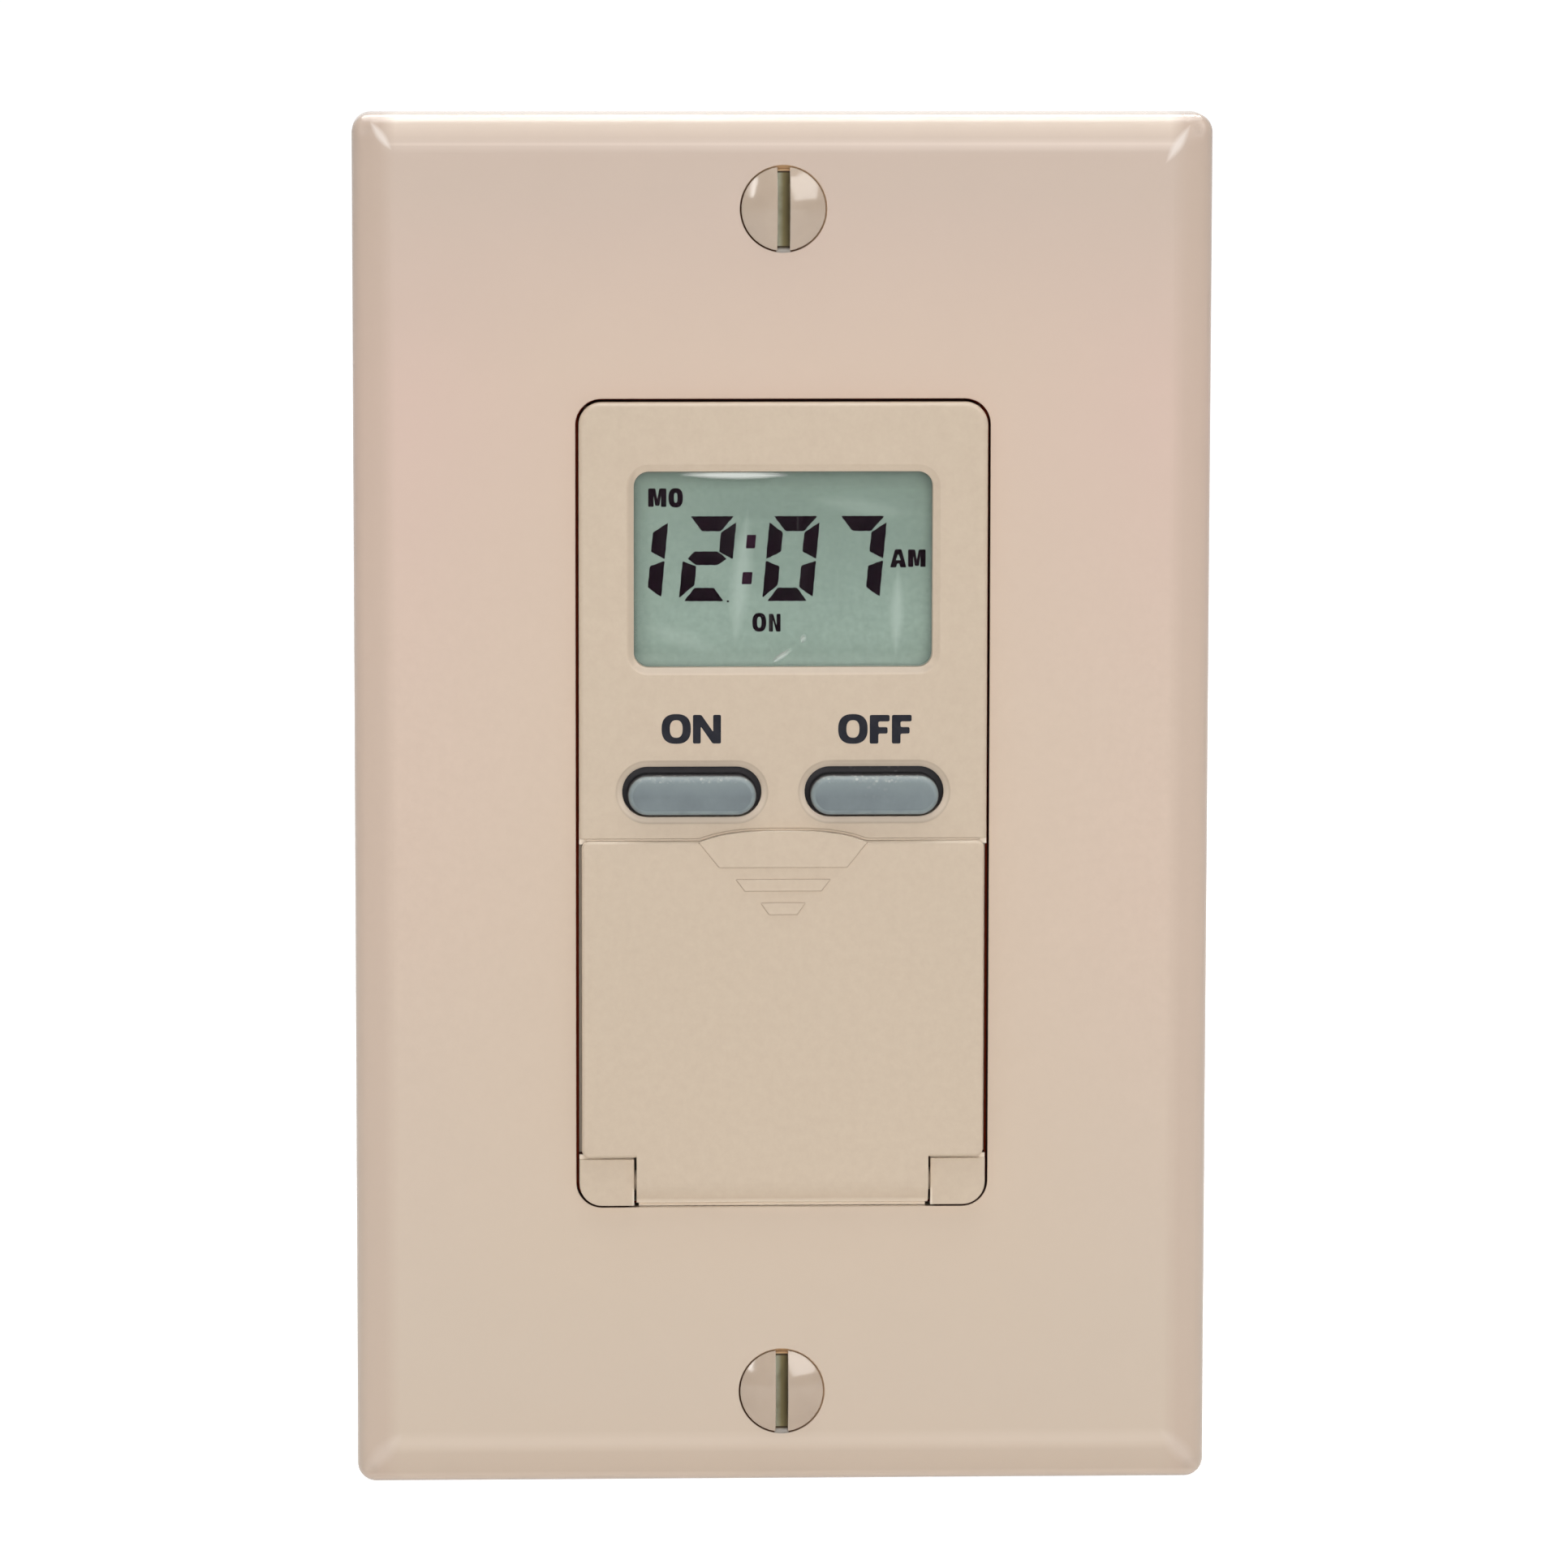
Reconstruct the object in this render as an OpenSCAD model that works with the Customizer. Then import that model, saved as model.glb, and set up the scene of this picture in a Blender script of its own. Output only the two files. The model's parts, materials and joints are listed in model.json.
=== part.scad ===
// In-wall timer light switch for a single-gang wall box: a wall plate, a face with a
// display and two push buttons, and a drop-down door over the program keys.
// Each piece is drawn as seen from the room: x to the right, y up and z forward from
// the wall plane. facing() then stands it upright, with its front towards -Y.
// All sizes are in millimetres.

/* [Wall plate] */
// Width of the wall plate
plate_w = 69.5; // [68:0.05:80]
// Height of the wall plate
plate_h = 112; // [111.6:0.1:125]
// Distance from the wall to the plate's flat front
plate_d = 5.6; // [5.4:0.1:6.4]
// Moulded wall of the plate
plate_wall = 2.2; // [2:0.1:2.4]
// Width of the sloping edge, seen from the front
edge_w = 3.1; // [2.4:0.1:3.4]
// Radius of the sloping edge's gentle curve
edge_r = 8.5; // [7:0.5:12]
// Angle of the crease where the sloping edge starts
edge_crease = 4; // [3:1:8]
// Radius of the plate's outer edge
roll_r = 1.3; // [0.8:0.1:1.4]
// Corner radius of the plate's outline
plate_corner_r = 1.5; // [1.4:0.1:3]
// Width of the plate's opening
opening_w = 33.6; // [33:0.1:34.4]
// Height of the plate's opening
opening_h = 66.2; // [65.8:0.1:67]
// Corner radius of the plate's opening
opening_r = 2.1; // [1.6:0.1:3]
// Thickness of the ribs on the plate's back
rib_t = 1.2; // [0.8:0.1:2]

/* [Strap and fasteners] */
// Distance between the two box screws
box_pitch = 83.34; // [83:0.02:83.8]
// Distance from a box screw to the plate screw beyond it
screw_step = 6.75; // [6.55:0.05:6.95]
// Shank radius of the plate and box screws
screw_r = 1.75; // [1.6:0.05:1.85]
// Head radius of a plate screw
oval_head_r = 3.4; // [3.2:0.1:3.7]
// Height of a plate screw's dome
oval_dome = 1.1; // [0.8:0.1:1.4]
// Length of a plate screw below its head's rim
plate_screw_len = 12.7; // [9:0.1:16]
// Width of a screwdriver slot
slot_w = 1; // [0.8:0.1:1.2]
// Head radius of a box screw
box_head_r = 3.8; // [3.2:0.1:3.9]
// Head height of a box screw
box_head_h = 1.6; // [1.2:0.1:1.8]
// Length of a box screw below its head
box_screw_len = 25; // [20:1:32]
// Sheet thickness of the strap
strap_t = 1.3; // [1.1:0.1:1.5]
// How far the strap stands out beside the housing
strap_side = 0.2; // [0:0.1:1.8]
// Gap between the strap's ends and the inside of the plate
strap_gap = 1.5; // [0.8:0.1:2.2]
// Width of the strap's end tabs
tab_w = 22; // [18:0.5:24]
// Radius of the break-off ears
ear_r = 4.2; // [3.5:0.1:5]
// Thickness of the fibre washers that keep the box screws captive
washer_t = 0.4; // [0.3:0.05:0.6]
// Shank radius of the rivets that hold face, strap and housing together
rivet_r = 1.2; // [1:0.05:1.4]
// Head radius of a rivet
rivet_head_r = 1.9; // [1.6:0.1:1.9]
// Half the distance between the rivets, sideways
rivet_x = 14; // [10:0.5:15]

/* [Face] */
// Gap between the face and the plate's opening
module_gap = 0.25; // [0.1:0.05:0.4]
// How far the face stands proud of the plate
face_proud = 1; // [0.8:0.1:1.6]
// Thickness of the face's front wall
face_wall = 1.5; // [1.3:0.1:1.6]
// Thickness of the face's side walls
side_wall = 1.3; // [1:0.1:1.4]
// Thickness of the face's top wall
top_wall = 1.5; // [1.2:0.1:2]
// Radius of the face's front edges
face_edge = 0.4; // [0.2:0.05:0.6]
// Width of the flange behind the plate
flange_w = 36; // [35.4:0.1:37]
// Thickness of the flange behind the plate
flange_t = 1.5; // [1.2:0.1:1.6]

/* [Display] */
// Width of the display window
window_w = 24.2; // [22:0.1:24.6]
// Height of the display window
window_h = 15.9; // [14:0.1:16.4]
// Corner radius of the display window
window_r = 1.2; // [0.8:0.1:2]
// Height of the window's centre above the middle of the face
window_y = 19.3; // [19:0.1:20]
// Width of the sloped border round the window
window_flare = 0.6; // [0.3:0.05:0.9]
// How far the clear window lies behind the face
window_sink = 0.4; // [0.3:0.05:0.7]
// Thickness of the clear window's flange
lens_flange_t = 0.4; // [0.4:0.1:0.8]
// Thickness of each of the display's two glass sheets
glass_t = 1; // [0.7:0.05:1.1]

/* [Buttons] */
// Length of a button
button_l = 10.4; // [9:0.1:11]
// Height of a button
button_w = 3.2; // [2.8:0.1:3.4]
// Distance of each button's hole from the middle of the face
button_x = 7.4; // [7:0.1:7.8]
// Height of the button holes above the middle of the face
button_y = 1.2; // [1.1:0.1:1.6]
// Gap between a button and its hole
button_gap = 0.45; // [0.35:0.05:0.5]
// How far a button hangs below the middle of its hole
button_sag = 0.2; // [0:0.05:0.25]
// How far a button stands proud of the face
button_proud = 1; // [0.9:0.1:1.6]
// Radius of a button's front edge
button_edge = 0.5; // [0.2:0.05:0.8]
// Width of the sloped border round a button hole
button_flare = 0.55; // [0.2:0.05:0.7]

/* [Door] */
// Height of the door's top edge, from the middle of the face
door_top = -2.8; // [-3.2:0.1:-2.7]
// Thickness of the door's panel
door_t = 1.5; // [1.3:0.1:1.6]
// How far the door stands proud of the face
door_proud = 0.3; // [0.1:0.05:0.5]
// Gap round the door
door_gap = 0.2; // [0.15:0.05:0.3]
// Radius of the door's hinge barrel
barrel_r = 1.9; // [1.7:0.05:2]
// Width of the tongue between the hinge blocks
tongue_w = 23.8; // [20:0.1:24.4]
// Radius of the hinge pins
pin_r = 0.9; // [0.7:0.05:1]
// Length of the hinge pins
pin_len = 2; // [1.5:0.1:2.4]
// How far the hinge blocks lie behind the face
block_sink = 0.2; // [0.1:0.05:0.4]
// Half width of the nail tab
tab_half = 6.83; // [5:0.01:9]
// Rise of the nail tab above the door's top edge
tab_rise = 0.92; // [0.6:0.02:1]
// Thickness of the nail tab and of the lip along the door's top edge
tab_t = 0.4; // [0.3:0.05:0.5]
// Height of the raised bars on the door
pad_h = 0.12; // [0.05:0.01:0.3]

/* [Program keys] */
// Length of a program key
key_l = 6; // [4:0.1:7]
// Height of a program key
key_w = 3.2; // [2.4:0.1:4]
// Sideways distance between program keys
key_pitch_x = 9.8; // [9:0.1:10.6]
// Distance between the two rows of program keys
key_pitch_y = 8.5; // [7:0.1:9]
// Height of the upper row, from the middle of the face
key_y = -11.2; // [-12:0.1:-10.8]
// How far a program key stands proud of the floor behind the door
key_stand = 0.5; // [0.3:0.05:0.6]
// Gap between a program key and its hole
key_gap = 0.2; // [0.15:0.05:0.4]
// Thickness of the floor behind the door
floor_t = 1.2; // [1:0.1:1.3]

/* [Boards] */
// Width of the control board
board_w = 30; // [29.6:0.1:31]
// Height of the control board
board_h = 61; // [60:0.5:62]
// Thickness of the control board
board_t = 1.2; // [0.8:0.1:1.6]
// Thickness of the keypad mat
mat_t = 0.8; // [0.6:0.1:0.9]
// Height of the mat's domes
dome_h = 0.9; // [0.7:0.05:0.95]
// Side of the microcontroller's body
chip_w = 12; // [8:0.5:14]
// Radius of the backup capacitor
backup_r = 5.5; // [4:0.5:6]
// Width of the power board
power_w = 39.4; // [38:0.1:39.8]
// Height of the power board
power_h = 49; // [48.4:0.1:49.6]
// Gap between the power board and the housing's walls
power_gap = 0.5; // [0.3:0.1:0.7]
// Thickness of the power board
power_t = 1.6; // [1.2:0.1:2]
// Width of the relay
relay_w = 15.6; // [12:0.2:15.6]
// Length of the relay
relay_l = 28.8; // [24:0.2:29]
// Height of the relay
relay_h = 15.8; // [12:0.2:18]
// Length of the supply capacitor
film_l = 18; // [13:0.5:18]
// Height of the supply capacitor
film_h = 15.5; // [11:0.5:18]
// Radius of the filter capacitor
can_r = 5; // [3:0.25:5]
// Height of the filter capacitor
can_h = 16; // [11:0.5:18]
// Radius of the varistor's disc
disc_r = 5; // [3.5:0.25:5]
// Thickness of the varistor's disc
disc_t = 4.2; // [3:0.2:5]

/* [Housing] */
// Height of the rear housing
housing_h = 66; // [65:0.2:66.4]
// Depth of the rear housing behind the wall plane
housing_d = 32; // [30:0.5:40]
// Wall of the rear housing
housing_wall = 1.8; // [1.4:0.1:1.9]
// Width of the rounded edges at the housing's back
housing_edge = 2.5; // [1.5:0.1:3]
// Thickness of the housing's riveted ears
ear_t = 4; // [3:0.1:6]
// Height of the posts that carry the power board
post_h = 3; // [2:0.1:4]
// Bore radius of the lead bushing
lead_r = 3; // [2:0.1:3.2]
// Height of the lead bushing, from the middle of the face
lead_y = -24.6; // [-25.2:0.1:-24.2]

/* [Hidden] */
$fn = 64;
// How far a cutting shape runs past the surface that it cuts
cut = 1;
// How far a rib or boss runs into the wall that it stands on
root = 0.2;
// Play between pieces that are assembled with a slide fit
slide_fit = 0.05;
// Running clearance of the hinge pins
pin_fit = 0.06;
// Air between pieces that must not rub
air = 0.3;

// Colours
ivory = [0.82, 0.74, 0.66];
rubber_blue = [0.47, 0.52, 0.54];
steel = [0.72, 0.72, 0.70];
charcoal = [0.16, 0.16, 0.17];
board_green = [0.16, 0.36, 0.22];
brass = [0.78, 0.62, 0.32];

// Distances forward from the wall plane
plate_back_f = plate_d - plate_wall;
strap_f = strap_t;
flange_f = strap_f + flange_t;
face_f = plate_d + face_proud;
face_in_f = face_f - face_wall;
window_f = face_f - window_sink;
door_f = face_f + door_proud;
door_back_f = door_f - door_t;
key_door_gap = 0.4;
key_top_f = door_back_f - key_door_gap;
floor_f = key_top_f - key_stand;
floor_back_f = floor_f - floor_t;
block_f = face_f - block_sink;
hinge_f = door_f - barrel_r;
lcd_gap = 0.1;
lcd_f = face_in_f - lens_flange_t - lcd_gap;
lcd_back_f = lcd_f - 2 * glass_t;
board_sink = 0.5;
board_f = strap_f - board_sink;
board_back_f = board_f - board_t;
mat_f = board_f + mat_t;
dome_f = mat_f + dome_h;
housing_in_f = housing_wall - housing_d;
power_back_f = housing_in_f + post_h;
power_f = power_back_f + power_t;

// Wall plate and its screws
plate_pitch = box_pitch + 2 * screw_step;
oval_half_angle = 41;
oval_rim = 0.2;
oval_seat_gap = 0.12;
oval_cone = (oval_head_r - screw_r) / tan(oval_half_angle);
oval_dome_r = (pow(oval_head_r, 2) + pow(oval_dome, 2)) / (2 * oval_dome);
plate_hole_play = 0.35;
plate_hole_r = screw_r + plate_hole_play;
screw_tip = 0.5;
slot_depth = 1.5;
boss_wall = 0.5;
rib_clear = 1.6;
rib_x = flange_w / 2 + rib_clear;
rib_rows = [-30, 0, 30];
rib_end = 44;

// Plate edge: a gentle curve that runs into a tight outer roll
crown_in = edge_w + edge_r * sin(edge_crease);
crown_f = plate_d - edge_r * cos(edge_crease);
roll_angle = asin((crown_in - roll_r) / (edge_r - roll_r));
roll_f = crown_f + (edge_r - roll_r) * cos(roll_angle);
roll_in = roll_r * (1 - sin(roll_angle));
roll_top_f = roll_f + roll_r * cos(roll_angle);
plate_inner_r = 0.5;

// Strap outline
housing_w = power_w + 2 * (power_gap + housing_wall);
strap_w = housing_w + 2 * strap_side;
strap_h = plate_h - 2 * (plate_wall + strap_gap);
strap_mid_margin = 1.3;
box_slot_l = 7;
box_slot_play = 0.5;
box_slot_w = 2 * screw_r + box_slot_play;
strap_corner_r = 2;
ear_neck = 0.9;
ear_neck_w = 3;
ear_inset = 0.6;
ear_x = tab_w / 2 + ear_neck + ear_r;
ear_y = strap_h / 2 - ear_r - ear_inset;
washer_w = 7.6;
box_clear = 0.5;
box_neck_r = 1.45;
box_neck_play = 0.1;
box_neck_l = strap_t + washer_t + box_neck_play;
ground_x = 7.2;
ground_end = 6.3;
ground_y = strap_h / 2 - ground_end;
ground_head_r = 3;
ground_hex_r = 2.6;
ground_head_h = 2;
ground_r = 1.6;
rivet_head_h = 0.35;
rivet_roll_h = 0.5;
rivet_hole_r = 0.6;

// Face, tied to the plate's opening and the housing behind it
module_w = opening_w - 2 * module_gap;
module_h = opening_h - 2 * module_gap;
module_r = opening_r - module_gap;
cavity_half = module_w / 2 - side_wall;
cavity_top = module_h / 2 - top_wall;
rivet_out = 1.9;
rivet_edge = 2.3;
rivet_y = housing_h / 2 + rivet_out;
flange_h = 2 * (rivet_y + rivet_edge);
flange_r = 2;

// Door, hinge and the bay behind the door
hinge_y = barrel_r + slide_fit - module_h / 2;
block_top = hinge_y + barrel_r;
block_in = tongue_w / 2 + door_gap;
door_half = module_w / 2 - door_gap;
door_bottom = block_top + door_gap;
door_lip = 0.5;
door_edge = 0.3;
door_corner_r = 0.6;
bay_top = door_top + door_gap;
tab_steps = 24;
tab_power = 3.2;
tab_sink = 0.08;
// Ledges of the face that close the seams above the door and above the hinge blocks
ledge_h = 0.3;
ledge_f = door_f - tab_t - air;
block_ledge_h = 0.35;
block_ledge_f = block_f - door_lip;
door_lip_h = ledge_h + air;
bay_wall = 1;
block_wall = 0.6;
latch_x = 11;
latch_drop = 2.4;
latch_y = door_top - latch_drop;
latch_l = 4;
latch_t = 1;
latch_depth = 1.7;
latch_nib_r = 0.2;
skirt_w = 0.9;
skirt_h = 0.7;
skirt_drop = 0.8;
skirt_rise = 2.6;
skirt_top = door_top - skirt_drop;
skirt_bottom = door_bottom + skirt_rise;
// Raised pad on the nail tab: half width of its lower edge and how far that lies below the door's top
pad_low_half = 5.18;
pad_drop = 2.13;
// Bars below it: half widths at top and bottom, then the drops of top and bottom
bars = [[3.81, 3.1, 3.13, 4.06], [1.78, 1.14, 5.06, 5.99]];

// Buttons and keys
button_at_y = button_y - button_sag;
button_hole_l = button_l + 2 * button_gap;
button_hole_w = button_w + 2 * button_gap;
button_flare_d = 0.35;
button_flange_t = 0.8;
button_lip = 0.35;
key_hole_l = key_l + 2 * key_gap;
key_hole_w = key_w + 2 * key_gap;
key_flange_t = 0.5;
key_lip = 0.5;
key_edge = 0.4;
key_stem_w = 2;
key_columns = [-key_pitch_x, 0, key_pitch_x];
key_rows = [key_y, key_y - key_pitch_y];
key_places = [for (y = key_rows, x = key_columns) [x, y]];
press_places = concat([[-button_x, button_at_y], [button_x, button_at_y]], key_places);
dome_base_r = 3;
dome_top_r = 2;
dome_wall = 0.5;

// Display stack
lens_fit = 0.08;
lens_lip = 1.4;
lcd_lip_x = 1.6;
lcd_lip_y = 1.4;
lcd_w = window_w + 2 * lcd_lip_x;
lcd_h = window_h + 2 * lcd_lip_y;
frame_wall = 0.9;
frame_play = 0.1;
frame_w = lcd_w + 2 * (frame_wall + frame_play);
frame_h = lcd_h + 2 * (frame_wall + frame_play);
frame_window_w = 20;
frame_window_h = 11;
frame_window_r = 0.8;
zebra_w = 1.4;
zebra_l = 22;
zebra_inset = 1.2;
zebra_y = lcd_h / 2 - zebra_inset;

// Control board
board_corner_r = 1;
board_play = 0.5;
mat_margin = 3.3;
mat_edge = 1.2;
mat_half = key_pitch_x + dome_base_r + mat_edge;
mat_top = button_y + mat_margin;
mat_low = key_rows[1] - mat_margin;
boss_r = 1.5;
foot_r = 1.2;
boss_pilot_r = 0.75;
small_screw_r = 0.7;
small_head_r = 1.6;
small_head_h = 1.1;
small_screw_len = 4;
boss_inset = 1.8;
foot_inset = 1.4;
boss_x = board_w / 2 - boss_inset;
boss_top_y = (mat_top + window_y - frame_h / 2) / 2;
boss_low_y = foot_inset - board_h / 2;
chip_t = 1.7;
chip_leads = 11;
chip_lead_pitch = 0.8;
chip_lead_w = 0.35;
chip_lead_t = 0.25;
chip_lead_l = 1;
chip_y = 8;
crystal_r = 1.5;
crystal_l = 8;
crystal_at = [10, -3];
crystal_lead_r = 0.25;
crystal_lead_l = 3;
crystal_lead_gap = 0.6;
backup_at = [-7, -13];
backup_t = 5;
link_y = 28.2;
link_pins = 8;
link_l = 20.32;
link_strip_w = 2.5;
link_strip_h = 2.5;
link_pin_w = 0.64;

// Power board and its parts
power_top = housing_h / 2 - housing_wall - power_gap;
power_y = power_top - power_h / 2;
post_r = 2.2;
post_pilot_r = 0.85;
post_side = 3.7;
post_low = 3.9;
post_top = 2.8;
post_x = power_w / 2 - post_side;
post_ys = [power_y - power_h / 2 + post_low, power_top - post_top];
post_screw_r = 0.8;
post_head_r = 1.8;
post_head_h = 1.3;
post_screw_len = 4;
relay_side = 2.3;
relay_at = [relay_side + (relay_w - power_w) / 2, 9];
relay_right = relay_at[0] + relay_w / 2;
relay_edge = 0.8;
relay_foot = 0.4;
can_side = 0.1;
can_at = [power_w / 2 - can_side - can_r, 17];
film_gap = 2.1;
film_can_gap = 0.3;
film_w = can_at[0] - can_r - film_can_gap - relay_right - film_gap;
film_at = [relay_right + film_gap + film_w / 2, 13.5];
can_groove = 0.4;
can_groove_f = 2.2;
disc_side = 4.2;
disc_at = [power_w / 2 - disc_side - disc_t / 2, 1.5];
disc_left = disc_at[0] - disc_t / 2;
disc_lift = 1.5;
wire_r = 0.4;
fuse_at = [(relay_right + disc_left) / 2, -4];
fuse_r = 1.9;
fuse_leg = 1.6;
fuse_gap = 0.95;
fuse_l = disc_left - relay_right - 2 * (fuse_leg + fuse_gap);
fuse_lift = 0.3;
terminal_xs = [-9, 0, 9];
terminal_y = -14;
terminal_r = 1;
terminal_collar_r = 1.7;
terminal_h = 7;

// Housing
housing_corner_r = 3;
housing_edge_rise = 3.5;
bush_wall = 1;
bush_r = lead_r + bush_wall;
bush_lip = 1.1;
bush_snap = 0.5;
bush_flange_r = bush_r + bush_lip;
bush_flange_t = 1.2;
bush_snap_r = bush_r + bush_snap;
bush_snap_t = 1.2;

// Radius of an edge that leaves the rim square and meets the flat front at a crease
function edge_radius(width, rise) = rise / sin(2 * atan(width / rise));

// Upper outline of the nail tab, from its right corner to its left one
function tab_arc(half, rise, base) = [for (i = [0:tab_steps])
    let (u = 1 - 2 * i / tab_steps)
    [half * u, base + rise * (1 - pow(abs(u), tab_power))]];

module facing() {
    rotate([90, 0, 0]) children();
}

module slab(back, front) {
    translate([0, 0, back]) linear_extrude(front - back) children();
}

module along_x(length) {
    rotate([90, 0, 90]) translate([0, 0, -length / 2]) linear_extrude(length) children();
}

module along_y(length) {
    rotate([90, 0, 0]) translate([0, 0, -length / 2]) linear_extrude(length) children();
}

module left_and_right(x) {
    for (side = [-1, 1]) translate([side * x, 0, 0]) children();
}

module up_and_down(y) {
    for (side = [-1, 1]) translate([0, side * y, 0]) children();
}

module four_corners(x, y) {
    left_and_right(x) up_and_down(y) children();
}

module rounded_rect(w, h, r) {
    square([w - 2 * r, h], center = true);
    square([w, h - 2 * r], center = true);
    four_corners(w / 2 - r, h / 2 - r) circle(r);
}

module pill(length, width) {
    square([length - width, width], center = true);
    left_and_right((length - width) / 2) circle(width / 2);
}

// Half of a bar's section with one rounded front edge
module soft_half(half, depth, edge) {
    square([half - edge, depth]);
    square([half, depth - edge]);
    translate([half - edge, depth - edge]) circle(edge);
}

module soft_section(half, depth, edge) {
    soft_half(half, depth, edge);
    mirror([1, 0]) soft_half(half, depth, edge);
}

// Block with rounded corners and a rounded front edge all round
module soft_block(w, h, r, depth, edge) {
    rows = h > 2 * r ? [-1, 1] : [0];
    for (row = rows) left_and_right(w / 2 - r) translate([0, row * (h / 2 - r), 0])
        rotate_extrude() soft_half(r, depth, edge);
    along_x(w - 2 * r) soft_section(h / 2, depth, edge);
    if (h > 2 * r) along_y(h - 2 * r) soft_section(w / 2, depth, edge);
}

// Sloped border of an opening, which widens towards the front and runs past it
module flare(w, h, r, depth, grow) {
    rows = h > 2 * r ? [-1, 1] : [0];
    high = depth + cut;
    wide = grow * high / depth;
    for (row = rows) left_and_right(w / 2 - r) translate([0, row * (h / 2 - r), 0])
        cylinder(h = high, r1 = r, r2 = r + wide);
    along_x(w - 2 * r) flare_section(h / 2, high, wide);
    if (h > 2 * r) along_y(h - 2 * r) flare_section(w / 2, high, wide);
}

module flare_section(half, high, wide) {
    polygon([[-half, 0], [half, 0], [half + wide, high], [-half - wide, high]]);
}

// Section of a shell with a straight rim and rounded edges, or of its inside
module dished_section(half, depth, rim, r, inset, low) {
    intersection() {
        translate([inset - half, -low]) square([2 * (half - inset), depth - inset + low]);
        union() {
            translate([r - half, -low]) square([2 * (half - r), depth + low]);
            translate([inset - half, -low]) square([2 * (half - inset), rim + low]);
            left_and_right(half - r) translate([0, rim]) circle(r - inset);
        }
    }
}

// Shell form with straight rim, rounded edges and mitred corners, or its inside
module dished_block(w, h, depth, rim, edge, corner, inset = 0, low = 0) {
    r = edge_radius(edge, depth - rim);
    intersection() {
        slab(-low, depth) rounded_rect(w - 2 * inset, h - 2 * inset, max(corner - inset, root));
        along_x(w) dished_section(h / 2, depth, rim, r, inset, low);
        along_y(h) dished_section(w / 2, depth, rim, r, inset, low);
    }
}

// Section of the plate: flat front, gently sloping edges and a tight roll down to the rim
module plate_section(half) {
    translate([-half, 0]) square([2 * half, roll_f]);
    left_and_right(half - roll_r) translate([0, roll_f]) circle(roll_r);
    intersection() {
        translate([roll_in - half, 0]) square([2 * (half - roll_in), plate_d]);
        union() {
            translate([edge_w - half, 0]) square([2 * (half - edge_w), plate_d]);
            left_and_right(half - crown_in) translate([0, crown_f]) circle(edge_r);
        }
    }
}

// Corner of the plate's outline, with the roll run round it
module plate_corner() {
    inner = plate_corner_r - roll_in;
    rotate_extrude() {
        square([plate_corner_r, roll_f]);
        translate([plate_corner_r - roll_r, roll_f]) circle(roll_r);
        polygon([[0, 0], [inner, 0], [inner, roll_top_f], [0, roll_top_f + inner * tan(roll_angle)]]);
    }
}

module plate_body() {
    intersection() {
        union() {
            slab(0, plate_d) square([plate_w - 2 * plate_corner_r, plate_h], center = true);
            slab(0, plate_d) square([plate_w, plate_h - 2 * plate_corner_r], center = true);
            four_corners(plate_w / 2 - plate_corner_r, plate_h / 2 - plate_corner_r) plate_corner();
        }
        along_x(plate_w) plate_section(plate_h / 2);
        along_y(plate_h) plate_section(plate_w / 2);
    }
}

module screw_slot(r, top, depth) {
    translate([-slot_w / 2, -r - cut, top - depth]) cube([slot_w, 2 * (r + cut), depth + cut]);
}

// Moulded plate: hollow behind, ribbed beside the opening, countersunk for its screws
module wallplate() {
    color(ivory) facing() difference() {
        union() {
            difference() {
                plate_body();
                slab(-cut, plate_back_f)
                    rounded_rect(plate_w - 2 * plate_wall, plate_h - 2 * plate_wall, plate_inner_r);
            }
            slab(strap_f + air, plate_back_f + root) plate_ribs();
            up_and_down(plate_pitch / 2)
                slab(strap_f + air, plate_back_f + root) circle(plate_hole_r + boss_wall);
        }
        slab(-cut, plate_d + cut) rounded_rect(opening_w, opening_h, opening_r);
        up_and_down(plate_pitch / 2) plate_screw_seat();
    }
}

module plate_ribs() {
    outer = plate_w / 2 - plate_wall + root;
    left_and_right(rib_x) square([rib_t, 2 * rib_end], center = true);
    for (y = rib_rows) left_and_right((rib_x + outer) / 2)
        translate([0, y]) square([outer - rib_x, rib_t], center = true);
}

module plate_screw_seat() {
    slab(-cut, plate_d + cut) circle(plate_hole_r);
    slab(plate_d - oval_rim, plate_d + cut) circle(oval_head_r + oval_seat_gap);
    translate([0, 0, plate_d - oval_rim - oval_cone])
        cylinder(h = oval_cone, r1 = screw_r + oval_seat_gap, r2 = oval_head_r + oval_seat_gap);
}

module wallplate_screws() {
    color(ivory) facing() up_and_down(plate_pitch / 2) translate([0, 0, plate_d]) oval_screw();
}

module oval_screw() {
    difference() {
        rotate_extrude() {
            intersection() {
                translate([0, oval_dome - oval_dome_r]) circle(oval_dome_r);
                square([oval_head_r + cut, oval_dome + cut]);
            }
            polygon([[0, 0], [oval_head_r, 0], [oval_head_r, -oval_rim],
                [screw_r, -oval_rim - oval_cone], [screw_r, screw_tip - plate_screw_len],
                [screw_r - screw_tip, -plate_screw_len], [0, -plate_screw_len]]);
        }
        screw_slot(oval_head_r, oval_dome, slot_depth);
    }
}

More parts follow.
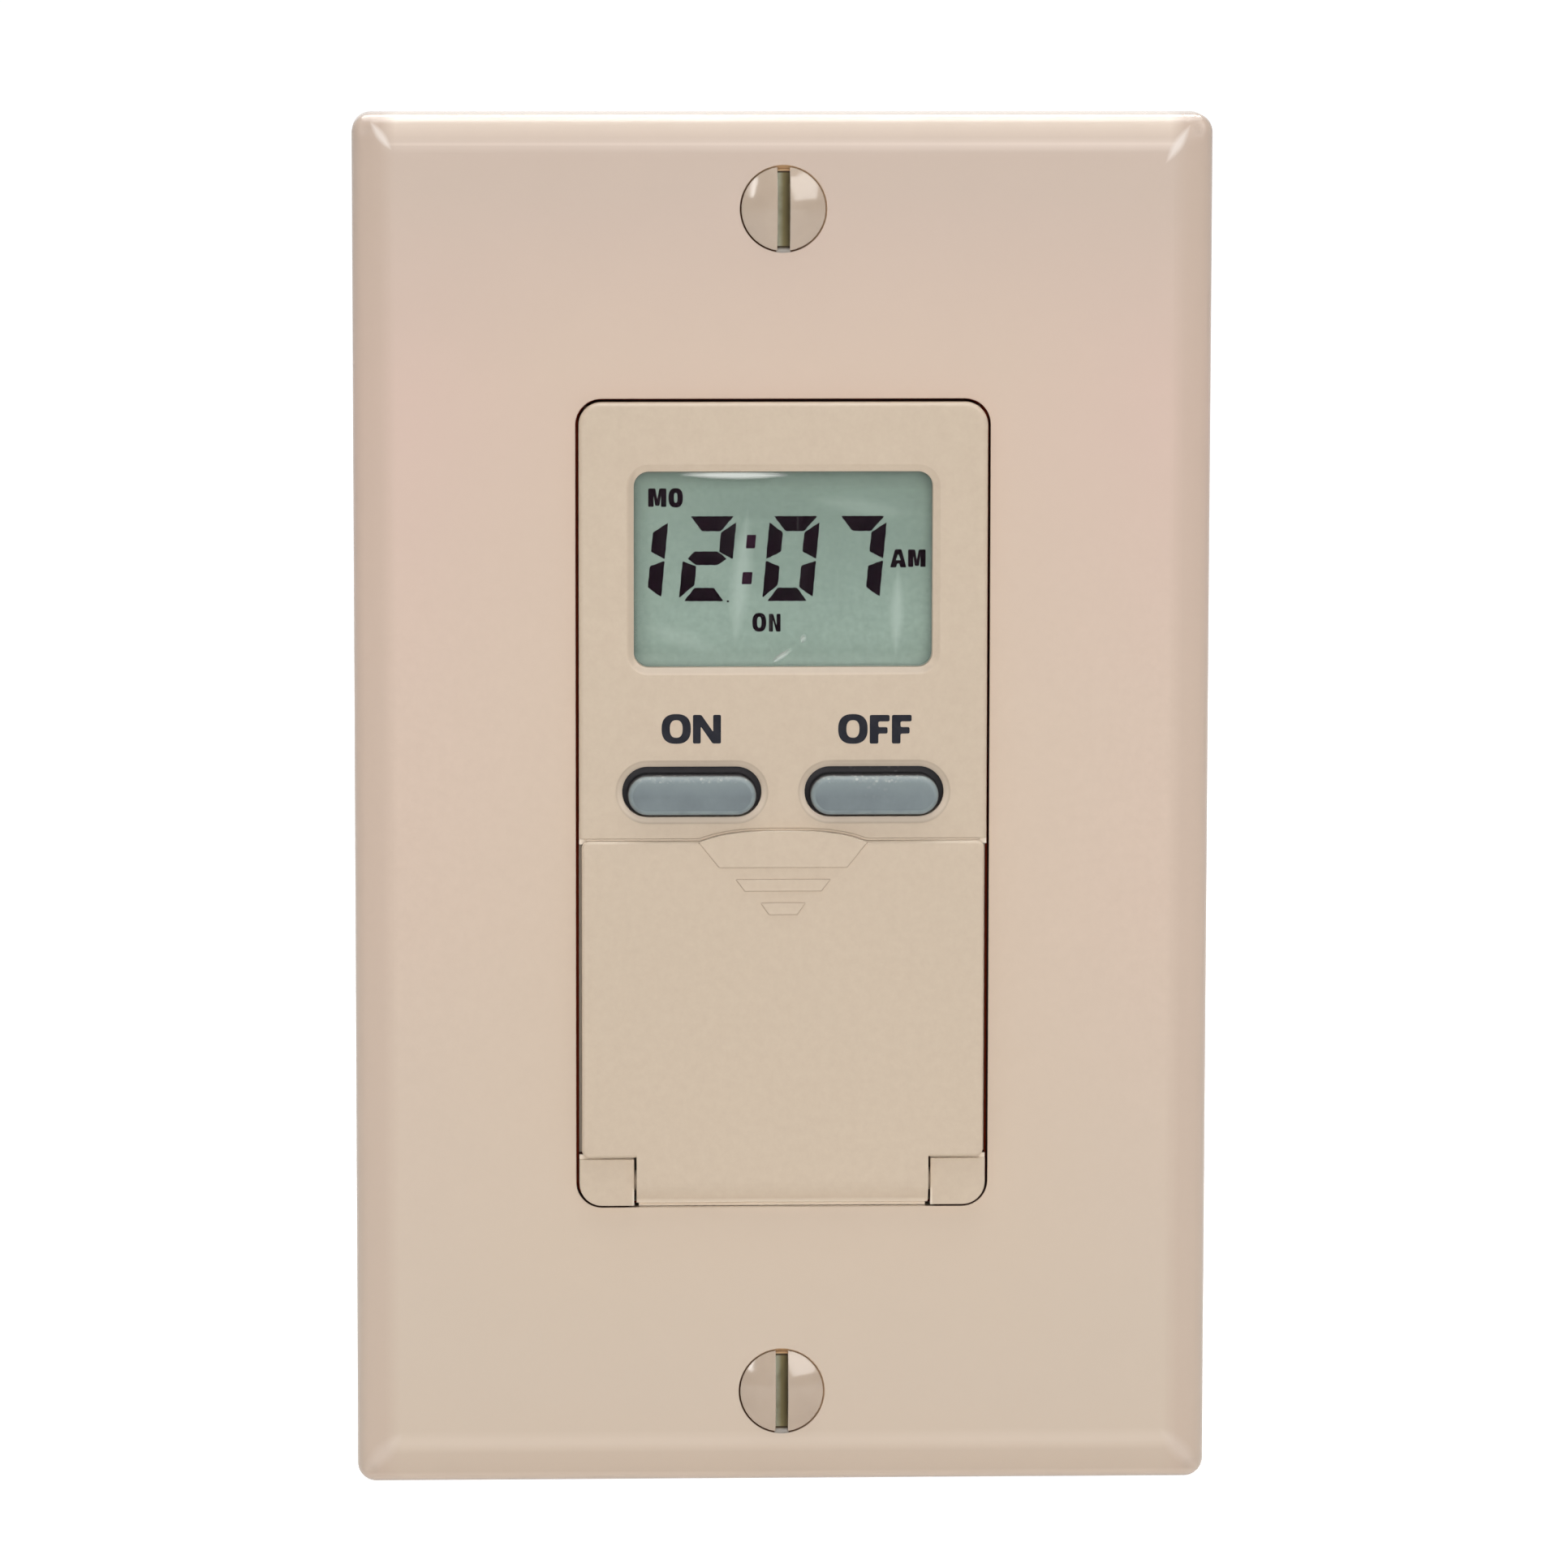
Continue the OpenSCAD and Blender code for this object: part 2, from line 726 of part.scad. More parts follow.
// Stamped steel yoke with slotted box holes, tapped plate holes and break-off ears
module mounting_strap() {
    color(steel) facing() slab(0, strap_f) difference() {
        union() {
            rounded_rect(strap_w, flange_h + 2 * strap_mid_margin, strap_corner_r);
            rounded_rect(tab_w, strap_h, strap_corner_r);
            four_corners(ear_x, ear_y) circle(ear_r);
            up_and_down(ear_y) square([2 * ear_x, ear_neck_w], center = true);
        }
        rounded_rect(board_w + 2 * board_play, board_h + 2 * board_play, board_corner_r);
        up_and_down(box_pitch / 2) pill(box_slot_l, box_slot_w);
        up_and_down(plate_pitch / 2) circle(screw_r + slide_fit);
        four_corners(rivet_x, rivet_y) circle(rivet_r + slide_fit);
        translate([-ground_x, -ground_y]) circle(ground_r + slide_fit);
    }
}

// Low domed head on a long thread, with a thinner neck that the fibre washer sits on
module mounting_screws() {
    color(steel) facing() up_and_down(box_pitch / 2) translate([0, 0, strap_f]) box_screw();
}

module box_screw() {
    dome_r = (pow(box_head_r, 2) + pow(box_head_h, 2)) / (2 * box_head_h);
    difference() {
        rotate_extrude() {
            intersection() {
                translate([0, box_head_h - dome_r]) circle(dome_r);
                square([box_head_r + cut, box_head_h + cut]);
            }
            polygon([[0, 0], [box_neck_r, 0], [box_neck_r, -box_neck_l], [screw_r, -box_neck_l],
                [screw_r, screw_tip - box_screw_len], [screw_r - screw_tip, -box_screw_len],
                [0, -box_screw_len]]);
        }
        screw_slot(box_head_r, box_head_h, box_head_h / 2);
    }
}

module screw_retainers() {
    color("peru") facing() up_and_down(box_pitch / 2) slab(-washer_t, 0) difference() {
        square(washer_w, center = true);
        circle(box_neck_r + slide_fit);
    }
}

// Hexagon head against the strap's back, shank through the strap
module ground_screw() {
    color("seagreen") facing() translate([-ground_x, -ground_y, 0]) difference() {
        union() {
            slab(-ground_head_h / 4, 0) circle(ground_head_r);
            slab(-ground_head_h, 0) circle(ground_hex_r, $fn = 6);
            slab(0, strap_f + air) circle(ground_r);
        }
        translate([-slot_w / 2, -ground_head_r, -ground_head_h - cut])
            cube([slot_w, 2 * ground_head_r, ground_head_h / 2 + cut]);
    }
}

// Face moulding: hollow behind, with a display window, button holes, the door's bay
// and the two blocks that hold the door's hinge pins
module front_bezel() {
    color(ivory) facing() difference() {
        union() {
            difference() {
                union() {
                    translate([0, 0, strap_f])
                        soft_block(module_w, module_h, module_r, face_f - strap_f, face_edge);
                    slab(strap_f, flange_f) rounded_rect(flange_w, flange_h, flange_r);
                }
                bezel_hollow();
            }
            bezel_bosses();
        }
        door_bay();
        window_opening();
        left_and_right(button_x) translate([0, button_y, 0]) button_hole();
        for (place = key_places) translate([place[0], place[1], 0])
            slab(floor_back_f - cut, floor_f + cut) pill(key_hole_l, key_hole_w);
        left_and_right(latch_x) translate([0, latch_y, 0])
            slab(floor_back_f - cut, floor_f + cut)
            square([latch_l + 2 * air, latch_t + 2 * air + 2 * latch_nib_r], center = true);
        bezel_pilots();
        four_corners(rivet_x, rivet_y) slab(strap_f - cut, flange_f + cut) circle(rivet_r + slide_fit);
        up_and_down(box_pitch / 2) slab(strap_f - cut, flange_f + cut) circle(box_head_r + box_clear);
    }
}

module bezel_hollow() {
    low = block_top + block_wall;
    wall_y = bay_top + bay_wall;
    slab(strap_f - cut, floor_back_f) translate([-cavity_half, low])
        square([2 * cavity_half, cavity_top - low]);
    slab(strap_f - cut, face_in_f) translate([-cavity_half, wall_y])
        square([2 * cavity_half, cavity_top - wall_y]);
}

module bezel_bosses() {
    left_and_right(boss_x) translate([0, boss_top_y, 0]) slab(board_f, face_in_f + root) circle(boss_r);
    left_and_right(boss_x) translate([0, boss_low_y, 0]) slab(board_f, strap_f + root) circle(foot_r);
}

module bezel_pilots() {
    left_and_right(boss_x) for (y = [boss_top_y, boss_low_y]) translate([0, y, 0])
        slab(board_f - cut, board_f + small_screw_len - board_t + air) circle(boss_pilot_r);
}

module door_bay() {
    wide = module_w + 2 * cut;
    low = block_top + block_ledge_h;
    high = door_top - ledge_h;
    slab(floor_f, face_f + cut) translate([-wide / 2, low]) square([wide, high - low]);
    slab(floor_f, face_f + cut) translate([-block_in, block_top]) square([2 * block_in, high - block_top]);
    slab(block_ledge_f, face_f + cut) translate([-wide / 2, block_top]) square([wide, high - block_top]);
    slab(ledge_f, face_f + cut) translate([-wide / 2, low]) square([wide, bay_top - low]);
    slab(block_f, face_f + cut) translate([-wide / 2, -module_h / 2 - cut])
        square([wide, block_top + module_h / 2 + 2 * cut]);
    slab(ledge_f, face_f + cut) polygon(tab_arc(tab_half + door_gap, tab_rise, bay_top - tab_sink));
    barrel_pocket();
    rotate([0, 90, 0]) translate([-hinge_f, hinge_y, 0])
        cylinder(h = 2 * (block_in + pin_len + pin_fit), r = pin_r + pin_fit, center = true);
}

module barrel_pocket() {
    reach = block_top - hinge_y + cut;
    along_x(2 * block_in) {
        translate([hinge_y, hinge_f]) circle(barrel_r + air);
        translate([hinge_y - barrel_r - cut, hinge_f]) square([barrel_r + cut + reach, barrel_r + cut]);
    }
}

module window_opening() {
    translate([0, window_y, 0]) {
        slab(face_in_f - cut, face_f + cut) rounded_rect(window_w, window_h, window_r);
        translate([0, 0, window_f]) flare(window_w, window_h, window_r, window_sink, window_flare);
    }
}

module button_hole() {
    slab(face_in_f - cut, face_f + cut) pill(button_hole_l, button_hole_w);
    translate([0, 0, face_f - button_flare_d])
        flare(button_hole_l, button_hole_w, button_hole_w / 2, button_flare_d, button_flare);
}

// Clear window with a flange that seats against the inside of the face
module lcd_window() {
    color("lightcyan", 0.4) facing() translate([0, window_y, 0]) {
        slab(face_in_f, window_f)
            rounded_rect(window_w - 2 * lens_fit, window_h - 2 * lens_fit, window_r - lens_fit);
        slab(face_in_f - lens_flange_t, face_in_f)
            rounded_rect(window_w + 2 * lens_lip, window_h + 2 * lens_lip, window_r);
    }
}

// Two bonded glass sheets: the back one is taller, for its row of contacts
module lcd_cell() {
    color("darkseagreen") facing() translate([0, window_y, 0]) {
        slab(lcd_back_f, lcd_back_f + glass_t) square([lcd_w, lcd_h], center = true);
        slab(lcd_back_f + glass_t, lcd_f)
            square([lcd_w, lcd_h - 2 * frame_wall], center = true);
    }
}

module lcd_frame() {
    color("white") facing() translate([0, window_y, 0]) difference() {
        slab(board_f, lcd_f) rounded_rect(frame_w, frame_h, frame_window_r);
        slab(lcd_back_f, lcd_f + cut)
            square([lcd_w + 2 * frame_play, lcd_h + 2 * frame_play], center = true);
        slab(board_f - cut, lcd_f) rounded_rect(frame_window_w, frame_window_h, frame_window_r);
        up_and_down(zebra_y) slab(board_f - cut, lcd_f)
            square([zebra_l + 2 * frame_play, zebra_w + 2 * frame_play], center = true);
    }
}

module zebra_strips() {
    color("dimgray") facing() translate([0, window_y, 0]) up_and_down(zebra_y)
        slab(board_f, lcd_back_f) square([zebra_l, zebra_w], center = true);
}

// Rubber cap with a flange behind the face and a stem down to its dome
module push_button(side) {
    flange_front = face_in_f - slide_fit;
    color(rubber_blue) facing() translate([side * button_x, button_at_y, 0]) {
        translate([0, 0, flange_front - button_flange_t])
            soft_block(button_l, button_w, button_w / 2,
                face_f + button_proud - flange_front + button_flange_t, button_edge);
        slab(flange_front - button_flange_t, flange_front)
            pill(button_hole_l + 2 * button_lip, button_hole_w + 2 * button_lip);
        slab(dome_f, flange_front - button_flange_t) pill(button_l - button_w, key_stem_w);
    }
}

module on_button() {
    push_button(-1);
}

module off_button() {
    push_button(1);
}

// Drop-down door: panel, nail tab, raised bars, snap latches, tongue and hinge barrel
module door() {
    color(ivory) facing() {
        door_panel();
        slab(door_f - tab_t, door_f)
            polygon(concat(tab_arc(tab_half, tab_rise, door_top - tab_sink),
                [[-tab_half, door_top - tab_t], [tab_half, door_top - tab_t]]));
        slab(door_f - root, door_f + pad_h) door_bars();
        left_and_right(latch_x) translate([0, latch_y, 0]) door_latch();
        left_and_right(door_half - skirt_w / 2) translate([0, (skirt_top + skirt_bottom) / 2, 0])
            slab(door_back_f - skirt_h, door_back_f + root)
            square([skirt_w, skirt_top - skirt_bottom], center = true);
        door_hinge();
    }
}

module door_panel() {
    middle = (door_top + door_bottom) / 2;
    lip_f = door_f - door_lip;
    relief = lip_f - door_back_f + cut;
    difference() {
        translate([0, middle, door_back_f])
            soft_block(2 * door_half, door_top - door_bottom, door_corner_r, door_t, door_edge);
        along_x(2 * (door_half + cut)) polygon([[door_bottom - cut, lip_f], [door_bottom, lip_f],
            [door_bottom + relief, lip_f - relief], [door_bottom - cut, lip_f - relief]]);
        along_x(2 * (door_half + cut)) translate([door_top - door_lip_h, door_back_f - cut])
            square([door_lip_h + cut, door_t + cut - tab_t]);
    }
}

module door_bars() {
    pad_y = door_top - pad_drop;
    polygon(concat(tab_arc(tab_half, tab_rise, door_top - tab_sink),
        [[-pad_low_half, pad_y], [pad_low_half, pad_y]]));
    for (bar = bars) polygon([bar_point(bar, 0, -1), bar_point(bar, 0, 1),
        bar_point(bar, 1, 1), bar_point(bar, 1, -1)]);
}

// Corner of a bar: end 0 is its top and end 1 its bottom, side is left or right
function bar_point(bar, end, side) = [side * bar[end], door_top - bar[2 + end]];

module door_latch() {
    slab(door_back_f - latch_depth, door_back_f + root) square([latch_l, latch_t], center = true);
    translate([0, latch_t / 2, door_back_f - latch_depth + 2 * latch_nib_r]) rotate([0, 90, 0])
        cylinder(h = latch_l, r = latch_nib_r, center = true);
}

module door_hinge() {
    along_x(tongue_w) {
        translate([hinge_y, hinge_f]) circle(barrel_r);
        translate([hinge_y, door_back_f]) square([door_bottom - hinge_y + 2 * cut, door_t]);
    }
    rotate([0, 90, 0]) translate([-hinge_f, hinge_y, 0])
        cylinder(h = tongue_w + 2 * (door_gap + pin_len), r = pin_r, center = true);
}

// Program key: rounded cap, flange behind the floor and stem down to its dome
module program_key(i) {
    flange_front = floor_back_f - slide_fit;
    color(rubber_blue) facing() translate([key_places[i][0], key_places[i][1], 0]) {
        translate([0, 0, flange_front - key_flange_t])
            soft_block(key_l, key_w, key_w / 2, key_top_f - flange_front + key_flange_t, key_edge);
        slab(flange_front - key_flange_t, flange_front)
            pill(key_hole_l + 2 * key_lip, key_hole_w + 2 * key_lip);
        slab(dome_f, flange_front - key_flange_t) pill(key_l - key_stem_w, key_stem_w);
    }
}

module mode_key() {
    program_key(0);
}

module day_key() {
    program_key(1);
}

module hour_key() {
    program_key(2);
}

module minute_key() {
    program_key(3);
}

module set_key() {
    program_key(4);
}

module clear_key() {
    program_key(5);
}

// Silicone mat with a hollow dome under every button and key
module keypad_mat() {
    color("silver") facing() difference() {
        union() {
            slab(board_f, mat_f) translate([-mat_half, mat_low])
                square([2 * mat_half, mat_top - mat_low]);
            for (place = press_places) translate([place[0], place[1], mat_f])
                cylinder(h = dome_h, r1 = dome_base_r, r2 = dome_top_r);
        }
        for (place = press_places) translate([place[0], place[1], board_f - cut])
            cylinder(h = cut + mat_t + dome_h - dome_wall, r1 = dome_base_r, r2 = dome_top_r - dome_wall);
    }
}

module control_board() {
    color(board_green) facing() slab(board_back_f, board_f) difference() {
        rounded_rect(board_w, board_h, board_corner_r);
        left_and_right(boss_x) for (y = [boss_top_y, boss_low_y])
            translate([0, y]) circle(small_screw_r + 2 * slide_fit);
    }
}

module control_board_screws() {
    color(steel) facing() left_and_right(boss_x) for (y = [boss_top_y, boss_low_y])
        translate([0, y, board_back_f]) mirror([0, 0, 1])
        pan_screw(small_screw_r, small_head_r, small_head_h, small_screw_len);
}

// Round-headed screw whose shank runs down from its seat
module pan_screw(r, head_r, head_h, length) {
    soft = head_h / 2;
    difference() {
        rotate_extrude() {
            soft_half(head_r, head_h, soft);
            translate([0, -length]) square([r, length]);
        }
        translate([-soft / 2, -head_r, head_h - soft]) cube([soft, 2 * head_r, soft + cut]);
    }
}

// Flat package with a row of leads on each side, on the back of the control board
module microcontroller() {
    lead_span = (chip_leads - 1) * chip_lead_pitch;
    color(charcoal) facing() translate([0, chip_y, 0]) {
        slab(board_back_f - chip_t - chip_lead_t / 2, board_back_f - chip_lead_t / 2)
            square(chip_w, center = true);
        for (quarter = [0:3]) rotate([0, 0, 90 * quarter]) for (i = [0:chip_leads - 1])
            translate([i * chip_lead_pitch - lead_span / 2, chip_w / 2, 0])
            slab(board_back_f - chip_lead_t, board_back_f)
            square([chip_lead_w, 2 * chip_lead_l], center = true);
    }
}

module clock_crystal() {
    color(steel) facing()
        translate([crystal_at[0], crystal_at[1], board_back_f - crystal_r - slide_fit])
        rotate([-90, 0, 0]) {
        cylinder(h = crystal_l, r = crystal_r, center = true);
        left_and_right(crystal_lead_gap) translate([0, 0, crystal_l / 2])
            cylinder(h = crystal_lead_l, r = crystal_lead_r);
    }
}

module backup_capacitor() {
    color("steelblue") facing() translate([backup_at[0], backup_at[1], board_back_f]) mirror([0, 0, 1])
        rotate_extrude() soft_half(backup_r, backup_t, can_groove);
}

// Pin header from board to board: a strip at each end and a row of square pins
module board_link() {
    step = link_l / link_pins;
    color(charcoal) facing() translate([0, link_y, 0]) {
        slab(board_back_f - link_strip_h, board_back_f) square([link_l, link_strip_w], center = true);
        slab(power_f, power_f + link_strip_h) square([link_l, link_strip_w], center = true);
        for (i = [0:link_pins - 1]) translate([(i + 0.5) * step - link_l / 2, 0, 0])
            slab(power_f, board_back_f) square(link_pin_w, center = true);
    }
}

module power_board() {
    color(board_green) facing() slab(power_back_f, power_f) difference() {
        translate([0, power_y]) rounded_rect(power_w, power_h, board_corner_r);
        left_and_right(post_x) for (y = post_ys) translate([0, y]) circle(post_screw_r + 2 * slide_fit);
    }
}

module power_board_screws() {
    color(steel) facing() left_and_right(post_x) for (y = post_ys) translate([0, y, power_f])
        pan_screw(post_screw_r, post_head_r, post_head_h, post_screw_len);
}

// Relay: rounded cover over a base that stands on small feet
module relay() {
    color("midnightblue") facing() translate([relay_at[0], relay_at[1], power_f]) {
        translate([0, 0, relay_foot])
            soft_block(relay_w, relay_l, relay_edge, relay_h - relay_foot, relay_edge / 2);
        four_corners(relay_w / 2 - relay_edge, relay_l / 2 - relay_edge)
            cylinder(h = relay_foot + root, r = relay_edge / 2);
    }
}

module supply_capacitor() {
    color("gold") facing() translate([film_at[0], film_at[1], power_f])
        soft_block(film_w, film_l, relay_edge, film_h, relay_edge / 2);
}

// Upright can with the rolled groove that holds its rubber seal
module filter_capacitor() {
    color("darkslateblue") facing() translate([can_at[0], can_at[1], power_f]) difference() {
        rotate_extrude() soft_half(can_r, can_h, can_groove);
        translate([0, 0, can_groove_f]) rotate_extrude() translate([can_r, 0]) circle(can_groove);
    }
}

// Coated disc that stands on its two wires
module varistor() {
    color("royalblue") facing() translate([disc_at[0], disc_at[1], power_f]) {
        translate([0, 0, disc_r + disc_lift]) rotate([0, 90, 0])
            cylinder(h = disc_t, r = disc_r, center = true);
        up_and_down(disc_r / 2) cylinder(h = disc_r + disc_lift, r = wire_r);
    }
}

// Axial resistor held just off the board by its two bent wires
module fuse_resistor() {
    axis_f = fuse_r + fuse_lift;
    color("tan") facing() translate([fuse_at[0], fuse_at[1], power_f]) {
        translate([0, 0, axis_f]) rotate([0, 90, 0]) {
            cylinder(h = fuse_l, r = fuse_r, center = true);
            cylinder(h = fuse_l + 2 * fuse_leg, r = wire_r, center = true);
        }
        left_and_right(fuse_l / 2 + fuse_leg - wire_r) cylinder(h = axis_f, r = wire_r);
    }
}

// Posts where the supply leads are joined to the board
module lead_terminals() {
    color(brass) facing() for (x = terminal_xs) translate([x, terminal_y, power_f]) {
        cylinder(h = terminal_h, r = terminal_r);
        cylinder(h = terminal_r, r = terminal_collar_r);
        translate([0, 0, terminal_h - terminal_r]) cylinder(h = terminal_r, r = terminal_collar_r);
    }
}

// Deep tub with riveted ears, posts for the power board and a hole for the leads
module rear_housing() {
    rim = housing_d - housing_edge_rise;
    color(charcoal) facing() difference() {
        union() {
            difference() {
                union() {
                    mirror([0, 0, 1]) dished_block(housing_w, housing_h, housing_d, rim,
                        housing_edge, housing_corner_r);
                    slab(-ear_t, 0) rounded_rect(flange_w, flange_h, flange_r);
                }
                mirror([0, 0, 1]) dished_block(housing_w, housing_h, housing_d, rim,
                    housing_edge, housing_corner_r, housing_wall, cut);
            }
            left_and_right(post_x) for (y = post_ys) translate([0, y, 0])
                slab(housing_in_f - root, power_back_f) circle(post_r);
        }
        left_and_right(post_x) for (y = post_ys) translate([0, y, 0])
            slab(housing_in_f, power_back_f + cut) circle(post_pilot_r);
        four_corners(rivet_x, rivet_y) slab(-ear_t - cut, cut) circle(rivet_r + slide_fit);
        up_and_down(box_pitch / 2) slab(-ear_t - cut, cut) square(washer_w + 2 * box_clear, center = true);
        translate([0, lead_y, 0]) slab(-housing_d - cut, housing_in_f + cut) circle(bush_r + slide_fit);
    }
}

// Snap-in bush that lines the hole where the leads come out
module lead_bushing() {
    color("black") facing() translate([0, lead_y, 0]) difference() {
        union() {
            slab(-housing_d, housing_in_f) circle(bush_r);
            slab(-housing_d - bush_flange_t, -housing_d) circle(bush_flange_r);
            slab(housing_in_f, housing_in_f + bush_snap_t) circle(bush_snap_r);
        }
        slab(-housing_d - bush_flange_t - cut, housing_in_f + bush_snap_t + cut) circle(lead_r);
    }
}

module assembly_rivets() {
    color(brass) facing() four_corners(rivet_x, rivet_y) difference() {
        union() {
            slab(-ear_t, flange_f) circle(rivet_r);
            slab(flange_f, flange_f + rivet_head_h) circle(rivet_head_r);
            slab(-ear_t - rivet_roll_h, -ear_t) circle(rivet_head_r - air);
        }
        slab(-ear_t - cut, flange_f + cut) circle(rivet_hole_r);
    }
}

wallplate();
wallplate_screws();
mounting_strap();
mounting_screws();
screw_retainers();
ground_screw();
front_bezel();
lcd_window();
lcd_cell();
lcd_frame();
zebra_strips();
on_button();
off_button();
door();
mode_key();
day_key();
hour_key();
minute_key();
set_key();
clear_key();
keypad_mat();
control_board();
control_board_screws();
microcontroller();
clock_crystal();
backup_capacitor();
board_link();
power_board();
power_board_screws();
relay();
supply_capacitor();
filter_capacitor();
varistor();
fuse_resistor();
lead_terminals();
rear_housing();
lead_bushing();
assembly_rivets();
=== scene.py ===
"""Looks of the timer light switch: finishes, printed words, display content, studio and camera.

Places and lengths are in mm as seen from the front: x to the right, forward from the wall, z up.
Only the studio and the camera are placed in metres.
"""
import json
import math

import bmesh
import bpy
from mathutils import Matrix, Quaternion, Vector
from mathutils.geometry import tessellate_polygon

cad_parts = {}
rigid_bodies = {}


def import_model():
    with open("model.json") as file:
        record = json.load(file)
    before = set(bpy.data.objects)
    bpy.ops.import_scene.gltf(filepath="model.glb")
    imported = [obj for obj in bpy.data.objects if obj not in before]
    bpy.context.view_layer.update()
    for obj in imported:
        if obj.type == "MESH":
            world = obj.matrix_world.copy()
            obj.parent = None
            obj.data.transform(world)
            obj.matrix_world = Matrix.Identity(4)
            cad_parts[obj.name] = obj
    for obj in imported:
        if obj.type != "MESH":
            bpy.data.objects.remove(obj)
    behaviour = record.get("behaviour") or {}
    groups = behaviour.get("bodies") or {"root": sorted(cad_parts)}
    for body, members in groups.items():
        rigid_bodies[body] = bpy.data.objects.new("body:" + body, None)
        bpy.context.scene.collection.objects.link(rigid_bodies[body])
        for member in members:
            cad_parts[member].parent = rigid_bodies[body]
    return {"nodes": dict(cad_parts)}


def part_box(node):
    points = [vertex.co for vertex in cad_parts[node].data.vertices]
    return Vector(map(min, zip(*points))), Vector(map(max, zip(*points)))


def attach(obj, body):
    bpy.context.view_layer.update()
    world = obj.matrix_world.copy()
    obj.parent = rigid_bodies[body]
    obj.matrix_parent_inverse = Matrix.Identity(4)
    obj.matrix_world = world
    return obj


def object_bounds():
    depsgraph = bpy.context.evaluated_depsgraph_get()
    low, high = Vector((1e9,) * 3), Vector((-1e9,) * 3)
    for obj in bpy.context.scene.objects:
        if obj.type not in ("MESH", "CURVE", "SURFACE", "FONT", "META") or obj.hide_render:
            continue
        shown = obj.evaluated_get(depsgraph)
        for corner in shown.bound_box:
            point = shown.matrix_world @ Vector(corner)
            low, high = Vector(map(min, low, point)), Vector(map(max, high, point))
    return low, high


MM = 0.001

# Ranges that the masks are spread over
NOISE_RANGE = (0.3, 0.7)  # where most values of a noise texture lie
EDGE_RANGE = (0.995, 0.88)  # cosine of true and softened normal: flat, edge
WALL_RANGE = (0.45, 0.1)  # forward share of the normal: front, wall
CREVICE_RANGE = (0.42, 0.10)  # ambient occlusion: open, closed
STREAK_CORE = 0.25  # share of a streak's half width at full strength

for leftover in list(bpy.data.objects):
    bpy.data.objects.remove(leftover)
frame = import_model()
cad_low, cad_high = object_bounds()
nodes = frame["nodes"]


# Colours and shader helpers


def linear(red, green, blue):
    """Linear colour of an sRGB value given as 0 to 255."""
    def one(v):
        v /= 255
        return v / 12.92 if v <= 0.04045 else ((v + 0.055) / 1.055) ** 2.4
    return (one(red), one(green), one(blue), 1.0)


